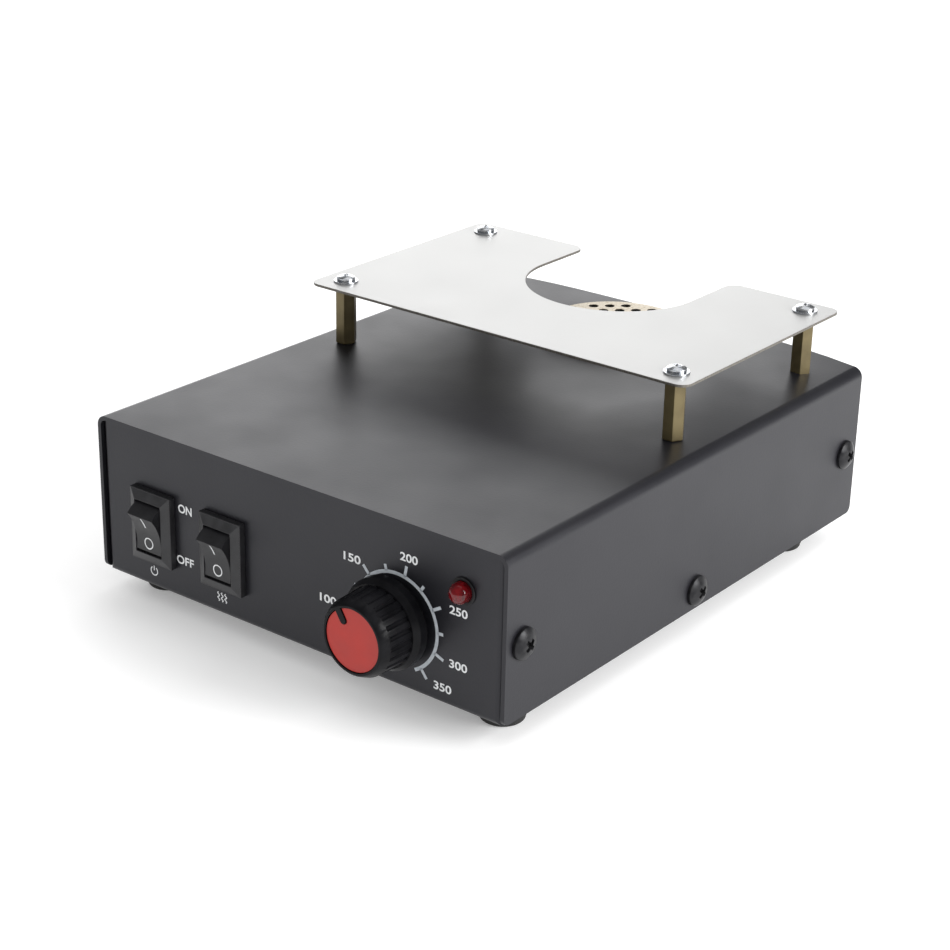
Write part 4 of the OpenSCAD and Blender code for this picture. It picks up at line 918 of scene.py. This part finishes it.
corners = [(PLATE_HOLE_R, 0), (WASHER_R, 0), (WASHER_R, WASHER_T), (PLATE_HOLE_R, WASHER_T)]
washer = turned("plate_washer", [*corners, corners[0]], 48)
round_edges(washer, WASHER_EDGE_R)
washer_set = copies(washer, [(x, y, plate_high.z) for x, y in plate_spots])
finish_piece(join(washer_set), zinc, "zinc", "housing", "plate_washers")
seat = plate_high.z + WASHER_T
shank_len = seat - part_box("plate_screws")[0][2]
recess_sizes = (SMALL_RECESS_R, SMALL_RECESS_W, PLATE_SCREW_TURN, SMALL_RIM_SHARE)
head_sizes = (SMALL_HEAD_R, SMALL_HEAD_H, SMALL_SHANK_R, shank_len, *recess_sizes)
pan_screws = copies(cross_head("plate_screw", *head_sizes), [(x, y, seat) for x, y in plate_spots])
finish_piece(join(pan_screws), zinc, "zinc", "housing", "plate_screws")

# Knob: moulded on a skirt, with grooves down the grip and a recess in its face for the coloured cap.
# A tongue is left standing in the recess as the pointer. The knob pushes onto the control's shaft.
KNOB_LIFT = 2.4 * MM
KNOB_REACH = 16.4 * MM
SKIRT_R = 12.3 * MM
SKIRT_TOP_R = 11.2 * MM
SKIRT_T = 4.0 * MM
SKIRT_BAND = 2.4 * MM
GRIP_R = 10.8 * MM
SHOULDER_R = 10.5 * MM
SHOULDER_LEN = 2.4 * MM
RIM_R = 9.6 * MM
RIM_BEVEL = 0.5 * MM
GROOVE_R = 0.75 * MM
GROOVE_OUT = 0.3 * MM
GROOVES = 24
CAP_R = 8.4 * MM
CAP_GAP = 0.15 * MM
CAP_RECESS = 1.4 * MM
CAP_SINK = 0.3 * MM
POINTER_W = 1.8 * MM
POINTER_START = 5.4 * MM
POINTER_TURN = radians(32)
SHAFT_BORE_R = 3.05 * MM
BUSH_RECESS_R = 7.0 * MM
BUSH_RECESS_TOP = 4.0 * MM
BORE_TOP = 13.5 * MM
KNOB_EDGE_R = 0.16 * MM
CAP_EDGE_R = 0.14 * MM


def tongue(width, low, high):
    """The pointer's shape, round at its inner end and running out past the rim."""
    bar = block("tongue_bar", (-width / 2, POINTER_START, low), (width / 2, SKIRT_R, high))
    end = rod("tongue_end", width / 2, high - low, (0, POINTER_START, (low + high) / 2), sides=32)
    combine(bar, end, "UNION")
    settle(bar, turn=(0, 0, POINTER_TURN))
    return bar


def phenolic():
    """Black phenolic moulding: hard, dark and half-gloss, paler in worn patches."""
    material = new_finish("black_phenolic", (0.006, 0.006, 0.007), 0.34, specular=0.12)
    wear = pattern(material, "Noise", Scale=180, Detail=4)
    tint(material, wear, (0.005, 0.005, 0.006), (0.010, 0.010, 0.012), 0.4, 0.7)
    polish(material, wear, 0.28, 0.42)
    grain(material, pattern(material, "Noise", Scale=3000, Detail=2), 0.012 * MM)
    return material


skirt_top = KNOB_LIFT + SKIRT_T
outline = [(0, BORE_TOP), (SHAFT_BORE_R, BORE_TOP), (SHAFT_BORE_R, BUSH_RECESS_TOP)]
outline += [(BUSH_RECESS_R, BUSH_RECESS_TOP), (BUSH_RECESS_R, KNOB_LIFT), (SKIRT_R, KNOB_LIFT)]
outline += [(SKIRT_R, KNOB_LIFT + SKIRT_BAND), (SKIRT_TOP_R, skirt_top), (GRIP_R, skirt_top)]
outline += [(SHOULDER_R, KNOB_REACH - SHOULDER_LEN), (RIM_R, KNOB_REACH - RIM_BEVEL)]
outline += [(RIM_R - RIM_BEVEL, KNOB_REACH), (0, KNOB_REACH)]
knob = turned("grooved_knob", outline, 96)
groove_len = KNOB_REACH - SHOULDER_LEN - skirt_top
lean = atan2(GRIP_R - SHOULDER_R, groove_len)
cutters = []
for i in range(GROOVES):
    cutter = rod("groove", GROOVE_R, groove_len, (0, 0, groove_len / 2), sides=24)
    settle(cutter, (GRIP_R + GROOVE_OUT, 0, skirt_top), (0, -lean, 0))
    settle(cutter, turn=(0, 0, 2 * pi * i / GROOVES))
    cutters.append(cutter)
combine(knob, join(cutters))
recess_floor = KNOB_REACH - CAP_RECESS
recess = rod("cap_recess", CAP_R + CAP_GAP, 2 * CAP_RECESS, (0, 0, KNOB_REACH), sides=96)
combine(recess, tongue(POINTER_W, recess_floor - OVERCUT, KNOB_REACH + 2 * OVERCUT))
combine(knob, recess)
round_edges(knob, KNOB_EDGE_R)
settle(knob, pivots["dial_turn"], FACING_FRONT)
finish_piece(knob, phenolic(), "knob_plastic", "dial", "knob")


def red_plastic():
    """Cap of dull red plastic, slightly faded and finely scuffed."""
    material = new_finish("dull_red_cap", (0.44, 0.023, 0.015), 0.48)
    fade = pattern(material, "Noise", Scale=140, Detail=4)
    tint(material, fade, (0.41, 0.020, 0.013), (0.47, 0.026, 0.017))
    polish(material, fade, 0.42, 0.54)
    grain(material, pattern(material, "Noise", Scale=3600, Detail=2), 0.01 * MM)
    return material


cap_top = KNOB_REACH - CAP_SINK
cap = rod("red_cap", CAP_R, cap_top - recess_floor, (0, 0, (cap_top + recess_floor) / 2), sides=96)
combine(cap, tongue(POINTER_W + 2 * CAP_GAP, recess_floor - OVERCUT, cap_top + OVERCUT))
round_edges(cap, CAP_EDGE_R)
settle(cap, pivots["dial_turn"], FACING_FRONT)
finish_piece(cap, red_plastic(), "cap_red", "dial", "knob_cap")

# Panel print: a scale with plain numbers round the dial, two words beside the switches and two signs.
# The scale is screen printed on the powder coat in blue-grey ink, the rest in white.
INK_T = 0.04 * MM
INK_SINK = 0.01 * MM
FINE_LINE = 0.32 * MM
SCALE_LINE = 0.95 * MM
TICK_LINE = 0.85 * MM
SCALE_R = 13.1 * MM
SCALE_CENTRE = (0.4 * MM, -0.7 * MM)
SCALE_ENDS = (-152, 152)
LONG_TICKS = (-143, -93, -41.8, 11.3, 59.9, 111.5, 142.5)
SHORT_TICKS = (-67, -14.4, 35.5, 86)
TICK_START = 13.3 * MM
LONG_TICK_END = 16.3 * MM
SHORT_TICK_END = 15.0 * MM
LETTER_H = 2.5 * MM
LETTER_WEIGHT = 0.02
NUMBER_H = 2.3 * MM
NUMBER_W = 5.6 * MM
ON_W = 5.0 * MM
OFF_W = 6.4 * MM
ARC_STEPS = 96
SIGN_Z = -13.7 * MM
SIGN_R = 1.25 * MM
SIGN_DROP = 0.15 * MM
SIGN_ENDS = (125, 415)
POWER_X = -85.7 * MM
POWER_BAR_H = 1.4 * MM
HEAT_X = -60.0 * MM
WAVE_H = 2.6 * MM
WAVE_GAP = 1.3 * MM
WAVE_SWING = 0.32 * MM
WAVE_STEPS = 24


def stroke(name, points, width):
    """A printed line of even width through points on the panel."""
    line = wire(name, [(x, y, 0) for x, y in points])
    extrude((0, 0, INK_T))
    leave_edit()
    modify(line, "SOLIDIFY", thickness=width, offset=0, use_even_offset=True)
    return line


def lettering(words, centre, height, width):
    """Printed characters, fitted to a height and a width."""
    clear_selection()
    bpy.ops.object.text_add()
    text = bpy.context.object
    text.data.body = words
    text.data.align_x = "CENTER"
    text.data.align_y = "CENTER"
    text.data.extrude = 0.5
    text.data.offset = LETTER_WEIGHT
    bpy.ops.object.convert(target="MESH")
    piece = bpy.context.object
    corners = [Vector(corner) for corner in piece.bound_box]
    low, high = corners[0], corners[6]
    shift = Matrix.Translation(-(low + high) / 2)
    fit = Matrix.Diagonal((width / (high.x - low.x), height / (high.y - low.y), INK_T, 1))
    piece.data.transform(Matrix.Translation((centre[0], centre[1], INK_T / 2)) @ fit @ shift)
    return piece


def on_dial(angle, radius):
    """A point at an angle clockwise from the top of the scale."""
    turn = radians(angle)
    return SCALE_CENTRE[0] + radius * sin(turn), SCALE_CENTRE[1] + radius * cos(turn)


def millimetres(x, y):
    """A point on the panel, in millimetres to the right of the dial's axis and above it."""
    return x * MM, y * MM


start, end = SCALE_ENDS
curve = [on_dial(start + (end - start) * i / ARC_STEPS, SCALE_R) for i in range(ARC_STEPS + 1)]
scale = [stroke("scale_arc", curve, SCALE_LINE)]
for angles, tick_end in ((LONG_TICKS, LONG_TICK_END), (SHORT_TICKS, SHORT_TICK_END)):
    for angle in angles:
        scale.append(stroke("tick", [on_dial(angle, TICK_START), on_dial(angle, tick_end)], TICK_LINE))
numbers = {
    "100": millimetres(-22.2, -2.0),
    "150": millimetres(-14.1, 12.1),
    "200": millimetres(4.3, 17.6),
    "250": millimetres(20.0, 8.1),
    "300": millimetres(20.2, -6.6),
    "350": millimetres(15.4, -14.2),
}
inked = [lettering(words, centre, NUMBER_H, NUMBER_W) for words, centre in numbers.items()]
inked.append(lettering("ON", millimetres(-73.0, 7.95), LETTER_H, ON_W))
inked.append(lettering("OFF", millimetres(-73.5, -7.25), LETTER_H, OFF_W))
ring = arc((POWER_X, SIGN_Z - SIGN_DROP), SIGN_R, *SIGN_ENDS, 40)
inked.append(stroke("power_ring", ring, FINE_LINE))
inked.append(stroke("power_bar", [(POWER_X, SIGN_Z), (POWER_X, SIGN_Z + POWER_BAR_H)], FINE_LINE))
for shift in (-WAVE_GAP, 0, WAVE_GAP):
    wave = []
    for i in range(WAVE_STEPS + 1):
        share = i / WAVE_STEPS
        x = HEAT_X + shift + WAVE_SWING * sin(4 * pi * share)
        wave.append((x, SIGN_Z + WAVE_H * (share - 0.5)))
    inked.append(stroke("heat_wave", wave, FINE_LINE))
scale_ink = screen_ink("blue_grey_ink", (0.50, 0.54, 0.58), (0.58, 0.62, 0.66))
dial = pivots["dial_turn"]
for strokes, colour in ((scale, scale_ink), (inked, ink)):
    print_layer = join(strokes)
    settle(print_layer, (dial[0], panel_y + INK_SINK, dial[2]), FACING_FRONT)
    finish_piece(print_layer, colour, "powder_coat")

# Studio: a pale seamless floor, a broad soft light overhead, one behind and one on the right.
# The room is dim where it shows and fills the shadows softly.
# The camera stands front right and above, at the photograph's angle.
CAMERA_OUT = Vector((344.9, -369.7, 217.8)) * MM
CAMERA_DOWN = radians(90 - 23.13)
CAMERA_TURN = radians(37.67)
CAMERA_ROLL = radians(1.27)
CAMERA_LENS = 82.4
SENSOR_W = 36.0
ROOM_FILL = 0.8
ROOM_SEEN = 0.15
FLOOR_SIZE = 20
FLOOR_GLOW = 0.25

scene = bpy.context.scene
scene.view_settings.view_transform = "Standard"
world = bpy.data.worlds.new("studio")
world.use_nodes = True
scene.world = world
tree = world.node_tree


def seen_directly(shading):
    """One for rays that show a thing to the camera, to metal or through glass; nought for the rest."""
    path = shading.nodes.new("ShaderNodeLightPath")
    total = path.outputs["Is Camera Ray"]
    for name in ("Is Glossy Ray", "Is Transmission Ray"):
        either = shading.nodes.new("ShaderNodeMath")
        either.operation = "MAXIMUM"
        shading.links.new(total, either.inputs[0])
        shading.links.new(path.outputs[name], either.inputs[1])
        total = either.outputs[0]
    return total


sky = tree.nodes["Background"]
sky.inputs["Color"].default_value = (1, 1, 1, 1)
level = tree.nodes.new("ShaderNodeMapRange")
level.inputs["To Min"].default_value = ROOM_FILL
level.inputs["To Max"].default_value = ROOM_SEEN
tree.links.new(seen_directly(tree), level.inputs["Value"])
tree.links.new(level.outputs["Result"], sky.inputs["Strength"])

clear_selection()
bpy.ops.mesh.primitive_plane_add(size=FLOOR_SIZE)
floor = bpy.context.object
floor.name = "pale_floor"
paper = new_finish("white_paper", (0.86, 0.86, 0.86), 0.9)
floor.data.materials.append(paper)
shader = paper.node_tree.nodes["Principled BSDF"]
shader.inputs["Emission Color"].default_value = (1, 1, 1, 1)
glow = paper.node_tree.nodes.new("ShaderNodeMath")
glow.operation = "MULTIPLY"
glow.inputs[1].default_value = FLOOR_GLOW
paper.node_tree.links.new(seen_directly(paper.node_tree), glow.inputs[0])
paper.node_tree.links.new(glow.outputs[0], shader.inputs["Emission Strength"])


def softbox(name, place, aim, size, power):
    """A square soft light that looks at a point."""
    clear_selection()
    bpy.ops.object.light_add(type="AREA", location=place)
    light = bpy.context.object
    light.name = name
    light.data.shape = "SQUARE"
    light.data.size = size
    light.data.energy = power
    light.rotation_euler = (Vector(aim) - Vector(place)).to_track_quat("-Z", "Y").to_euler()


softbox("overhead_light", (0.0, 0.4, 1.1), aim=(0, 0.1, 0), size=0.9, power=2.0)
softbox("rear_light", (-0.85, 0.95, 0.45), aim=(0, 0, 0.05), size=1.0, power=6.6)
softbox("right_light", (0.9, 0.2, 0.45), aim=(0.15, 0.12, 0), size=0.5, power=9.0)

clear_selection()
bpy.ops.object.camera_add(location=Vector((0, cover_low.y, cover_high.z)) + CAMERA_OUT)
camera = bpy.context.object
aim = Euler((CAMERA_DOWN, 0, CAMERA_TURN)).to_matrix() @ Matrix.Rotation(CAMERA_ROLL, 3, "Z")
camera.rotation_euler = aim.to_euler()
camera.data.lens = CAMERA_LENS
camera.data.sensor_width = SENSOR_W
scene.camera = camera
